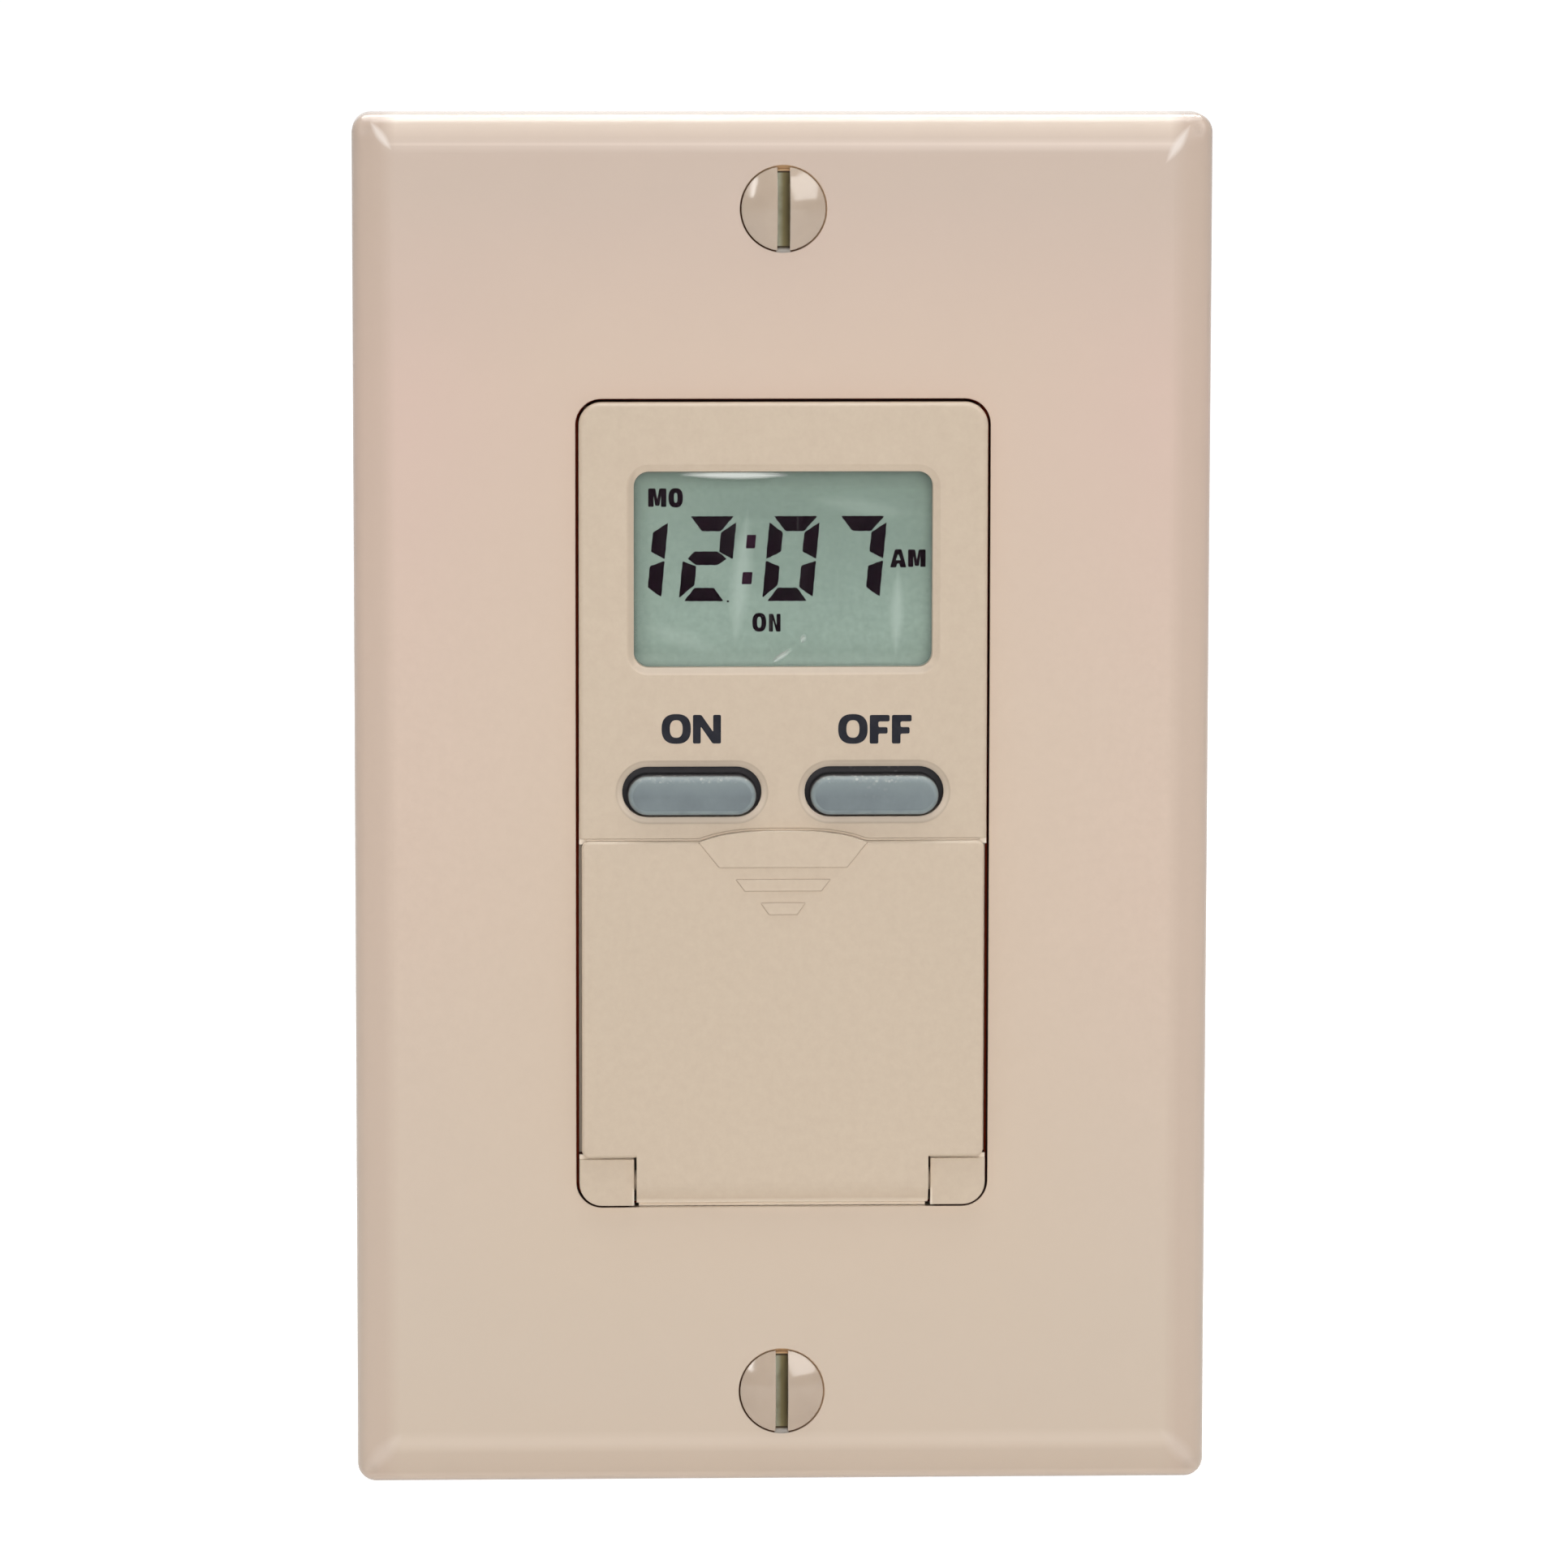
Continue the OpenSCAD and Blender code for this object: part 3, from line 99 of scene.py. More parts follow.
class Graph:
    """Node graph of one material, with the few steps that the finishes below are made of."""

    def __init__(self, name):
        self.material = bpy.data.materials.new(name)
        self.material.use_nodes = True
        self.tree = self.material.node_tree
        self.tree.nodes.clear()
        self.output = self.add("ShaderNodeOutputMaterial")
        coordinates = self.add("ShaderNodeTexCoord").outputs
        self.place, self.outward = coordinates["Object"], coordinates["Normal"]

    def add(self, kind, **settings):
        node = self.tree.nodes.new(kind)
        for key, value in settings.items():
            setattr(node, key, value)
        return node

    def link(self, source, target):
        self.tree.links.new(source, target)

    def feed(self, socket, value):
        if isinstance(value, bpy.types.NodeSocket):
            self.link(value, socket)
        else:
            socket.default_value = value

    def stretched(self, scale):
        """Object coordinates scaled differently along x, y and z, for brushed finishes."""
        node = self.add("ShaderNodeMapping")
        self.link(self.place, node.inputs["Vector"])
        node.inputs["Scale"].default_value = scale
        return node.outputs["Vector"]

    def noise(self, scale, detail=2.0, roughness=0.5, place=None):
        node = self.add("ShaderNodeTexNoise")
        self.link(place or self.place, node.inputs["Vector"])
        node.inputs["Scale"].default_value = scale
        node.inputs["Detail"].default_value = detail
        node.inputs["Roughness"].default_value = roughness
        return node.outputs["Fac"]

    def cells(self, scale, place=None):
        node = self.add("ShaderNodeTexVoronoi")
        self.link(place or self.place, node.inputs["Vector"])
        node.inputs["Scale"].default_value = scale
        return node.outputs["Distance"]

    def spread(self, value, low, high, start=0.0, end=1.0):
        """Value from low to high, mapped to start to end and held there outside."""
        node = self.add("ShaderNodeMapRange", clamp=True)
        self.link(value, node.inputs["Value"])
        for key, number in (("From Min", low), ("From Max", high), ("To Min", start), ("To Max", end)):
            node.inputs[key].default_value = number
        return node.outputs["Result"]

    def patches(self, scale, detail=2.0, roughness=0.5, start=0.0, end=1.0):
        """Noise spread over its usual range, from start to end."""
        return self.spread(self.noise(scale, detail, roughness), *NOISE_RANGE, start, end)

    def math(self, operation, first, second):
        node = self.add("ShaderNodeMath", operation=operation)
        self.feed(node.inputs[0], first)
        self.feed(node.inputs[1], second)
        return node.outputs["Value"]

    def mix(self, factor, first, second):
        node = self.add("ShaderNodeMix", data_type="RGBA")
        self.feed(node.inputs["Factor"], factor)
        self.feed(node.inputs["A"], first)
        self.feed(node.inputs["B"], second)
        return node.outputs["Result"]

    def split(self, vector):
        node = self.add("ShaderNodeSeparateXYZ")
        self.link(vector, node.inputs["Vector"])
        return node.outputs

    def front_view(self):
        """Place in mm as seen from the front: to the right, forward from the wall, and up."""
        node = self.add("ShaderNodeVectorMath", operation="MULTIPLY")
        self.link(self.place, node.inputs[0])
        node.inputs[1].default_value = (1 / MM, -1 / MM, 1 / MM)
        axes = self.split(node.outputs["Vector"])
        return axes["X"], axes["Y"], axes["Z"]

    def size(self, value):
        return self.math("ABSOLUTE", value, 0.0)

    def from_screw(self, z):
        """Height above the nearer plate screw, in mm."""
        return self.math("SUBTRACT", z, self.spread(z, -1.0, 1.0, -SCREW_HEIGHT, SCREW_HEIGHT))

    def both(self, first, second):
        return self.math("MULTIPLY", first, second)

    def either(self, first, second):
        return self.math("MAXIMUM", first, second)

    def between(self, value, low, high, soft):
        """Mask that is 1 from low to high and fades out over the soft distance beyond."""
        return self.both(self.spread(value, low - soft, low), self.spread(value, high + soft, high))

    def facing(self):
        """Share of the normal that points to the front."""
        return self.both(self.split(self.outward)["Y"], -1.0)

    def walls(self):
        """Mask that is 1 on walls that run into the depth and 0 on what faces the front."""
        return self.spread(self.facing(), *WALL_RANGE)

    def corner(self, radius, samples=4):
        """Soft normal of small broken edges, and a mask that is 1 on those edges."""
        soft = self.add("ShaderNodeBevel", samples=samples)
        soft.inputs["Radius"].default_value = radius
        true = self.add("ShaderNodeNewGeometry").outputs["Normal"]
        dot = self.add("ShaderNodeVectorMath", operation="DOT_PRODUCT")
        self.link(soft.outputs["Normal"], dot.inputs[0])
        self.link(true, dot.inputs[1])
        return soft.outputs["Normal"], self.spread(dot.outputs["Value"], *EDGE_RANGE)

    def crevice(self, distance):
        """Mask that is 1 in seams and slots narrower than the distance."""
        node = self.add("ShaderNodeAmbientOcclusion", samples=6)
        node.inputs["Distance"].default_value = distance
        return self.spread(node.outputs["AO"], *CREVICE_RANGE)

    def turned(self, mask, first, second):
        """First normal where the mask is 0, second where it is 1."""
        node = self.add("ShaderNodeMix", data_type="VECTOR")
        self.link(mask, node.inputs["Factor"])
        self.link(first, node.inputs[4])
        self.link(second, node.inputs[5])
        return node.outputs[1]

    def streak(self, x0, z0, x1, z1, half):
        """Soft mask along the line between two places, thin at both ends, in mm as seen from the front."""
        x, _, z = self.front_view()
        along = Vector((x1 - x0, z1 - z0))
        reach = along.length / 2
        along.normalize()
        x = self.math("SUBTRACT", x, (x0 + x1) / 2)
        z = self.math("SUBTRACT", z, (z0 + z1) / 2)
        run = self.math("ADD", self.both(x, along.x / reach), self.both(z, along.y / reach))
        side = self.size(self.math("SUBTRACT", self.both(x, along.y), self.both(z, along.x)))
        taper = self.both(self.both(run, run), half)
        return self.spread(self.math("ADD", side, taper), half, STREAK_CORE * half)

    def bump(self, height, distance, normal=None):
        node = self.add("ShaderNodeBump")
        self.link(height, node.inputs["Height"])
        node.inputs["Distance"].default_value = distance
        node.inputs["Strength"].default_value = 1.0
        if normal:
            self.link(normal, node.inputs["Normal"])
        return node.outputs["Normal"]

    def surface(self, colour, rough, normal, metallic=0.0, level=0.5):
        shader = self.add("ShaderNodeBsdfPrincipled")
        self.feed(shader.inputs["Base Color"], colour)
        self.feed(shader.inputs["Roughness"], rough)
        shader.inputs["Metallic"].default_value = metallic
        shader.inputs["Specular IOR Level"].default_value = level
        self.link(normal, shader.inputs["Normal"])
        self.link(shader.outputs["BSDF"], self.output.inputs["Surface"])
        return self.material


# Tints that several finishes share; the seam colours are painted shade and painted light

# Painted shade on the walls of seams
SEAM = linear(84, 46, 27)
# Red-brown painted shade for the bottom of the seam round the face
GROOVE = linear(196, 70, 38)
RUST = linear(216, 176, 132)
# Painted light that pales the shaded walls of narrow seams
PAINTED_SEAM_LIGHT = linear(246, 232, 214)
MOTTLE = linear(178, 152, 132)

# Places on the part that finishes and films share; a pair is where a mask starts and where it is full

FACE_FRONT = -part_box("front_bezel")[0].y / MM
CELL_FRONT = -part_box("lcd_cell")[0].y / MM
FLARE_TOP = FACE_FRONT - 0.02
SCREW_HEIGHT = 48.42
CORNER_X, CORNER_Z = (30.2, 31.0), (51.4, 52.2)
SEAM_X, SEAM_Z = (15.9, 16.2), (32.2, 32.5)
TONGUE_FOOT = (-32.2, -32.6)
SLOT_SIDE = (0.62, 0.52)


# Finishes


def moulded(name, base, drift, rough, grain=2600.0, depth=0.004, edge=0.12, wear=None, crevice_tint=None,
            matt_marks=None, shades=None, mottle=0.0, swing=0.07, level=0.5, drift_scale=22.0, hips=0.0):
    """Moulded plastic: slow drift of tint, fine grain, uneven gloss, softened and worn edges, darker narrow
    seams and slots.

    Shades only change the colour; matt marks make the surface matt too. Both carry painted light and shade,
    and the plate's also carry real tints. Hips is a wider rounding at the plate's corners.
    """
    g = Graph(name)
    colour = g.mix(g.patches(drift_scale, 3.0), base, drift)
    normal, rim = g.corner(edge * MM)
    if hips:
        x, _, z = g.front_view()
        outer = g.both(g.spread(g.size(x), *CORNER_X), g.spread(g.size(z), *CORNER_Z))
        normal = g.turned(outer, normal, g.corner(hips * MM, 8)[0])
    if mottle:
        colour = g.mix(g.patches(1300.0, 4.0, 0.7, 0.0, mottle), colour, MOTTLE)
    # Darker in narrow seams and slots, where the ambient occlusion mask finds them
    if crevice_tint:
        colour = g.mix(g.both(g.crevice(0.6 * MM), 0.9), colour, crevice_tint)
    if wear:
        rubbed = g.both(rim, g.spread(g.noise(420.0, 4.0), 0.42, 0.66))
        colour = g.mix(g.both(rubbed, 0.6), colour, wear)
    gloss = g.spread(g.noise(140.0, 4.0, 0.6), 0.25, 0.75, rough - swing, rough + swing)
    # Shades and matt marks: tints, painted light and painted shade
    for mask, shade in shades(g, rim) if shades else ():
        colour = g.mix(mask, colour, shade)
    for mask, mark_colour in matt_marks(g) if matt_marks else ():
        colour = g.mix(mask, colour, mark_colour)
        gloss = g.either(gloss, mask)
    fine = g.bump(g.noise(grain, 3.0, 0.6), depth * MM, normal)
    wavy = g.bump(g.noise(110.0, 1.0), 2.0 * depth * MM, fine)
    return g.surface(colour, gloss, wavy, level=level)


# Painted highlights on the ridges where two bevels of the plate meet: ends in mm as seen from the front, half
# width, strength
PLATE_RIDGE_HIGHLIGHTS = (
    ((30.8, 52.0, 32.9, 55.2, 0.50), 0.62),
    ((-31.5, 53.1, -33.3, 55.5, 0.44), 0.62),
    ((31.0, -51.7, 34.4, -55.3, 0.95), 0.16),
    ((-31.0, -51.7, -34.4, -55.3, 0.95), 0.16),
)


def plate_tints_and_painted_light(g, _rim):
    """Slow tints by height; painted shade on the side and lower bevels; painted light on the upper bevel and
    lower edge; painted highlights along the creases and the ridges.
    """
    x, _, z = g.front_view()
    wide, tall = g.size(x), g.size(z)
    flat = g.spread(wide, 32.4, 31.2)
    middle = g.both(g.spread(wide, 30.0, 18.0), g.spread(tall, 48.0, 36.0, 0.0, 0.45))

    def band(low, high, soft, share):
        """Line from side bevel to side bevel."""
        return g.both(g.both(flat, g.between(z, low, high, soft)), share)

    tints = [
        (g.spread(z, 8.0, 30.0), linear(219, 192, 176)),  # rosy upper half
        (g.spread(z, 34.0, 50.0), linear(209, 188, 172)),  # greyer upper end
        (g.spread(z, -10.0, -42.0), linear(213, 195, 176)),  # yellower lower half
        (middle, linear(216, 196, 173)),  # round the opening
        # Painted shade on the side bevels
        (g.both(g.between(wide, 32.5, 34.1, 1.3), 0.6), linear(203, 180, 162)),  # side bevels
        # Painted shade on the lower bevel
        (band(-55.2, -53.5, 0.5, 0.2), linear(196, 174, 156)),  # lower bevel
        # Painted light on the upper bevel
        (g.both(flat, g.spread(z, 53.4, 55.4, 0.0, 0.7)), linear(244, 227, 210)),  # upper bevel
        # Painted highlights along the upper crease and its fine core
        (band(53.4, 53.7, 0.45, g.spread(x, -30.0, 20.0, 0.2, 0.5)), linear(240, 222, 208)),  # upper crease
        (band(53.58, 53.66, 0.12, 0.3), linear(244, 228, 214)),  # its fine core
        # Painted highlight along the lower crease
        (band(-52.7, -52.4, 0.75, 0.42), linear(228, 211, 194)),  # lower crease
        # Painted light along the lower edge
        (g.both(g.spread(z, -55.1, -55.7), 0.6), linear(244, 226, 210)),  # lower edge
    ]
    # Painted highlights on the ridges where the bevels meet
    ridge_highlights = [(g.both(g.streak(*ridge), share), linear(252, 242, 234)) for ridge, share in PLATE_RIDGE_HIGHLIGHTS]
    return tints + ridge_highlights


def door_painted_foot_shade(g, rim):
    """Painted shade lines round the foot of the nail pad and the bars."""
    _, forward, z = g.front_view()
    foot = g.both(rim, g.both(g.between(forward, 6.86, 6.94, 0.02), g.spread(z, -9.6, -9.2)))
    return [(foot, linear(142, 114, 94))]


def plate_seams_and_seats(g):
    """Painted shade on the walls of the opening, painted light on them below the door's tongue, and the two
    screws' seats with painted shadow towards their lower left.
    """
    x, _, z = g.front_view()
    inside = g.both(g.spread(g.size(x), 17.6, 17.3), g.spread(g.size(z), 33.9, 33.6))
    tongue = g.both(g.spread(g.size(x), 12.6, 11.4), g.spread(z, *TONGUE_FOOT))
    rim_walls = g.both(inside, g.walls())
    # Painted shade on the opening's walls, and painted light on them below the door's tongue
    opening = g.both(rim_walls, g.spread(tongue, 0.0, 1.0, 1.0, 0.0))
    up = g.from_screw(z)
    away = g.math("SQRT", g.math("ADD", g.both(x, x), g.both(up, up)), 0.0)
    seat = g.spread(away, 3.56, 3.50)
    # Painted shadow in the seat: dark towards the lower left, pale towards the upper right
    shade = g.mix(g.spread(g.math("ADD", x, up), -3.0, 3.6), linear(84, 50, 28), linear(230, 196, 160))
    slot = g.both(seat, g.spread(g.size(x), *SLOT_SIDE))
    top, low = g.both(slot, g.spread(up, 2.6, 2.9)), g.both(slot, g.spread(up, -2.6, -2.9))
    return [(opening, SEAM), (g.both(rim_walls, tongue), PAINTED_SEAM_LIGHT), (seat, shade), (top, RUST),
            (low, linear(208, 200, 192))]


def face_painted_light_and_shade(g, _rim):
    """Painted light on the moulding round the buttons, strongest below them, and painted shade on the lower
    and left edges of the window's frame.
    """
    x, forward, z = g.front_view()
    sunk = g.spread(forward, FLARE_TOP, FLARE_TOP - 0.12)
    flare = g.both(g.both(g.between(z, -1.5, 3.6, 0.3), g.between(g.size(x), 1.2, 13.5, 0.3)), sunk)
    window_edge = g.both(g.between(z, 10.6, 27.9, 0.1), g.spread(g.size(x), 13.0, 12.9))
    low_left = g.both(g.either(g.spread(z, 11.6, 11.3), g.spread(x, -11.9, -12.2)), 0.45)
    # Painted light round the buttons; painted shade on the window frame's lower and left edges
    return [(g.both(flare, g.spread(z, 2.4, -0.6, 0.35, 0.85)), linear(244, 227, 207)),
            (g.both(g.both(window_edge, sunk), low_left), linear(188, 170, 150))]


def face_painted_seams(g):
    """Painted shade in the seams round the face and the door's tongue, red-brown painted shade deep in the
    seam round the face, painted light on the ledge, walls and pocket behind the door's edges, and painted
    shade in the button holes, darkest at the top.
    """
    x, forward, z = g.front_view()
    outer = g.either(g.spread(g.size(x), *SEAM_X), g.spread(g.size(z), *SEAM_Z))
    blocks = g.both(g.spread(z, -28.4, -28.8), g.between(g.size(x), 12.0, 12.2, 0.1))
    # Painted shade on the seam walls
    dark = g.both(g.both(g.walls(), g.spread(forward, 5.9, 5.5)), g.either(outer, blocks))
    # Red-brown painted shade deep in the seam round the face
    groove = g.both(outer, g.spread(forward, 3.6, 3.2))
    ledge = g.both(g.spread(z, -1.4, -1.7), g.between(forward, 5.8, 6.3, 0.05))
    bay_edge = g.both(g.walls(), g.between(z, -2.8, -1.2, 0.1))
    pocket = g.both(g.spread(z, -31.3, -31.6), g.spread(g.size(x), 12.3, 12.1))
    # Painted shade in the button holes, darkest at the top
    holes = g.both(g.walls(), g.both(g.between(z, -1.1, 3.5, 0.2), g.between(g.size(x), 1.5, 13.3, 0.2)))
    holes = g.both(holes, g.spread(z, -0.9, 0.3, 0.0, 1.0))
    # Painted light on the ledge, walls and pocket behind the door's edges
    lit_seams = g.either(ledge, g.either(bay_edge, pocket))
    return [(lit_seams, PAINTED_SEAM_LIGHT), (dark, SEAM), (groove, GROOVE), (holes, linear(104, 90, 82))]


def door_painted_seams(g):
    """Painted shade on the side walls, painted light along the top and lower edges and the underside."""
    x, forward, z = g.front_view()
    sides = g.spread(g.size(x), *SEAM_X)
    tongue = g.both(g.spread(z, -28.6, -28.9), g.between(g.size(x), 11.8, 12.0, 0.1))
    # Painted shade on the side walls
    dark = g.both(g.both(g.walls(), g.spread(forward, 6.2, 5.8)), g.either(sides, tongue))
    # Painted light along the top and lower edges and the underside
    edges = g.both(g.walls(), g.either(g.spread(z, -4.0, -3.2), g.spread(z, -28.2, -28.6)))
    underside = g.spread(z, *TONGUE_FOOT)
    return [(g.either(edges, underside), PAINTED_SEAM_LIGHT), (dark, SEAM)]


def metal(name, base, drift, rough, tarnish, brushed=(40.0, 900.0, 900.0)):
    """Plated or bare metal: drawn lines, uneven tarnish, bright rubbed edges."""
    g = Graph(name)
    lines = g.noise(1.0, 3.0, 0.6, g.stretched(brushed))
    colour = g.mix(g.spread(lines, *NOISE_RANGE), base, drift)
    normal, rim = g.corner(0.1 * MM)
    blotch = g.spread(g.noise(160.0, 5.0, 0.65), 0.5, 0.72)
    colour = g.mix(g.both(blotch, 0.7), colour, tarnish)
    bright = tuple(min(1.0, 1.25 * c) for c in base[:3]) + (1.0,)
    colour = g.mix(g.both(rim, 0.5), colour, bright)
    swing = 0.09
    gloss = g.spread(lines, 0.2, 0.8, rough - swing, rough + swing)
    return g.surface(colour, gloss, g.bump(lines, 0.003 * MM, normal), metallic=1.0)


def screw_paint(name):
    """Glossy ivory enamel on the plate screws, thin in the slot where the olive metal shows, with painted
    light and shade across the slot and painted shadows at its ends.
    """
    g = Graph(name)
    colour = g.mix(g.patches(300.0, 3.0), linear(190, 169, 148), linear(184, 163, 142))
    normal, rim = g.corner(0.12 * MM)
    x, forward, z = g.front_view()
    up = g.from_screw(z)
    slot = g.both(g.spread(g.size(x), 0.515, 0.503), g.spread(forward, 6.5, 6.2))
    # Olive bare metal in the slot, with painted light on the left and painted shade on the right
    bare = g.mix(g.spread(x, -0.42, 0.0), linear(188, 188, 166), linear(134, 122, 84))
    bare = g.mix(g.spread(x, 0.0, 0.46), bare, linear(92, 80, 50))
    bare = g.mix(g.spread(g.noise(900.0, 3.0), 0.4, 0.7, 0.0, 0.5), bare, linear(112, 102, 70))
    bare = g.mix(g.spread(up, 3.0, 3.08), bare, RUST)
    # Painted shadows at both ends of the slot
    slot_end_shadows = g.either(g.between(up, 2.92, 3.0, 0.05), g.between(up, -3.14, -3.04, 0.05))
    bare = g.mix(slot_end_shadows, bare, linear(58, 44, 28))
    bare = g.mix(g.spread(up, -3.16, -3.22), bare, linear(204, 196, 188))
    colour = g.mix(slot, colour, bare)
    chipped = g.both(rim, g.spread(g.noise(700.0, 4.0, 0.6), 0.52, 0.6))
    colour = g.mix(g.both(chipped, 0.5), colour, linear(168, 142, 104))
    gloss = g.patches(420.0, 3.0, start=0.09, end=0.16)
    wavy = g.bump(g.noise(520.0, 2.0), 0.006 * MM, normal)
    return g.surface(colour, g.either(gloss, slot), wavy, level=0.9)


def soft_rubber(name, base, light, dust, flank_shade=None):
    """Translucent silicone rubber: lighter towards the top as painted light, paler rounded rims partly as
    dust and partly as painted light, matt skin, dust on the upper rims, and painted shade on the flanks if
    given.
    """
    g = Graph(name)
    _, forward, z = g.front_view()
    colour = g.mix(g.patches(240.0, 4.0, 0.6, 0.0, 0.5), base, light)
    # Painted light: lighter towards the top
    colour = g.mix(g.spread(z, 0.9, 2.5, 0.0, 0.9), colour, light)
    normal, _ = g.corner(0.28 * MM)
    shoulder = g.between(g.facing(), 0.60, 0.95, 0.04)
    # Paler rounded rims, partly dust and partly painted light
    colour = g.mix(g.both(shoulder, g.spread(g.noise(800.0, 4.0), 0.3, 0.6, 0.2, 0.9)), colour, light)
    if flank_shade:
        # Painted shade on the flanks and the sunk sides
        colour = g.mix(g.either(g.walls(), g.spread(forward, 6.6, 6.2)), colour, flank_shade)
        upper = g.both(g.between(z, 2.15, 2.62, 0.12), g.spread(forward, 6.7, 6.9))
        powder = g.spread(g.noise(2400.0, 4.0, 0.7), 0.46, 0.68, 0.0, 0.22)
        uneven = g.spread(g.noise(420.0, 2.0), 0.3, 0.6, 0.35, 0.9)
        colour = g.mix(g.both(upper, g.both(powder, uneven)), colour, dust)
    else:
        upper = g.both(shoulder, g.spread(z, 1.6, 2.2))
    motes = g.both(g.spread(g.cells(2300.0), 0.40, 0.18), g.spread(g.noise(900.0, 3.0, 0.7), 0.42, 0.52))
    caught = g.both(motes, g.either(upper, g.spread(g.noise(160.0, 2.0), 0.62, 0.70, 0.0, 0.25)))
    colour = g.mix(g.both(caught, 0.5), colour, dust)
    gloss = g.patches(500.0, 3.0, start=0.42, end=0.62)
    rough_skin = g.bump(g.noise(2200.0, 4.0, 0.65), 0.012 * MM, normal)
    return g.surface(colour, gloss, g.bump(g.noise(300.0, 2.0), 0.01 * MM, rough_skin), level=0.3)


# Painted reflections of light streaks on the display: ends in mm as seen from the front, half width, strength
CELL_REFLECTIONS = (
    ((-2.8, 24.2, -3.9, 12.6, 1.05), 0.42),
    ((9.4, 19.4, 9.2, 11.8, 0.70), 0.42),
    ((-11.6, 14.7, -4.4, 12.2, 1.05), 0.20),
    ((2.2, 24.9, 10.8, 23.5, 0.95), 0.18),
)


def display_glass(name):
    """Grey-green reflective display: slow brightness drift, painted light and shade from top to bottom,
    painted reflections, painted shade along the top and left edges, painted light along the lower edge, and
    the grain of its polarizer.
    """
    g = Graph(name)
    x, _, z = g.front_view()
    blotch = g.either(g.noise(70.0, 2.0), g.noise(1.0, 3.0, 0.6, g.stretched((130.0, 130.0, 420.0))))
    colour = g.mix(g.spread(blotch, 0.35, 0.75), linear(141, 160, 148), linear(163, 183, 170))
    # Painted light and shade: lighter towards the bottom and darker towards the top
    colour = g.mix(g.spread(z, 24.5, 15.0, 0.0, 0.7), colour, linear(172, 194, 181))
    fine = g.patches(1900.0, 4.0, 0.7)
    colour = g.mix(g.both(fine, 0.40), colour, linear(128, 147, 135))
    # Painted reflections
    for mark, share in CELL_REFLECTIONS:
        colour = g.mix(g.both(g.streak(*mark), share), colour, linear(206, 224, 213))
    shaded = g.either(g.spread(x, -10.6, -12.1, 0.0, 0.55), g.spread(z, 25.4, 27.0, 0.0, 0.70))
    colour = g.mix(shaded, colour, linear(116, 132, 122))
    # Painted light along the lower edge
    colour = g.mix(g.spread(z, 12.5, 11.4, 0.0, 0.40), colour, linear(196, 216, 203))
    normal, rim = g.corner(0.1 * MM)
    colour = g.mix(g.both(rim, 0.4), colour, linear(150, 168, 158))
    gloss = g.patches(300.0, start=0.45, end=0.6)
    return g.surface(colour, gloss, g.bump(fine, 0.002 * MM, normal), level=0.08)


# Scratches and a glint on the window: ends of each in mm as seen from the front, half width, strength
WINDOW_MARKS = (
    ((-1.0, 11.6, 0.8, 12.8, 0.19), 0.50),
    ((1.4, 13.3, 1.9, 13.9, 0.24), 0.35),
    ((-8.7, 26.98, 0.8, 26.91, 0.37), 0.95),
)


def clear_window(name):
    """Clear moulded window: see-through with a thin even gloss, faint wipe marks and hair scratches."""
    g = Graph(name)
    normal, rim = g.corner(0.15 * MM)
    smear = g.spread(g.noise(1.0, 3.0, 0.6, g.stretched((420.0, 420.0, 60.0))), 0.55, 0.75)
    scratch = g.spread(g.noise(1.0, 1.0, 0.4, g.stretched((1400.0, 300.0, 90.0))), 0.72, 0.76)
    veil = g.add("ShaderNodeBsdfDiffuse")
    veil.inputs["Color"].default_value = linear(226, 232, 226)
    clear = g.add("ShaderNodeBsdfTransparent")
    gloss = g.add("ShaderNodeBsdfGlossy")
    g.link(g.spread(smear, 0.0, 1.0, 0.05, 0.16), gloss.inputs["Roughness"])
    g.link(g.bump(scratch, 0.004 * MM, normal), gloss.inputs["Normal"])
    haze = g.math("ADD", g.both(smear, 0.012), g.both(scratch, 0.03))
    haze = g.math("ADD", haze, g.both(rim, 0.10))
    for mark, share in WINDOW_MARKS:
        haze = g.math("ADD", haze, g.both(g.streak(*mark), share))
    body = g.add("ShaderNodeMixShader")
    g.link(haze, body.inputs["Fac"])
    g.link(clear.outputs["BSDF"], body.inputs[1])
    g.link(veil.outputs["BSDF"], body.inputs[2])
    fresnel = g.add("ShaderNodeFresnel")
    fresnel.inputs["IOR"].default_value = 1.09
    g.link(normal, fresnel.inputs["Normal"])
    skin = g.add("ShaderNodeMixShader")
    g.link(fresnel.outputs["Fac"], skin.inputs["Fac"])
    g.link(body.outputs["Shader"], skin.inputs[1])
    g.link(gloss.outputs["BSDF"], skin.inputs[2])
    g.link(skin.outputs["Shader"], g.output.inputs["Surface"])
    return g.material


def circuit_board(name):
    """Green solder mask over copper tracks, with the weave of the glass cloth below it."""
    g = Graph(name)
    tracks = g.spread(g.cells(210.0, place=g.stretched((1.0, 1.0, 1.6))), 0.30, 0.36)
    colour = g.mix(tracks, linear(28, 96, 58), linear(22, 74, 46))
    weave = g.both(g.noise(1.0, 1.0, 0.5, g.stretched((3200.0, 400.0, 400.0))),
                   g.noise(1.0, 1.0, 0.5, g.stretched((400.0, 400.0, 3200.0))))
    colour = g.mix(g.spread(weave, 0.2, 0.35, 0.0, 0.3), colour, linear(46, 118, 76))
    normal, rim = g.corner(0.1 * MM)
    colour = g.mix(rim, colour, linear(168, 158, 112))
    gloss = g.patches(300.0, 3.0, start=0.28, end=0.42)
    return g.surface(colour, gloss, g.bump(tracks, 0.02 * MM, normal))


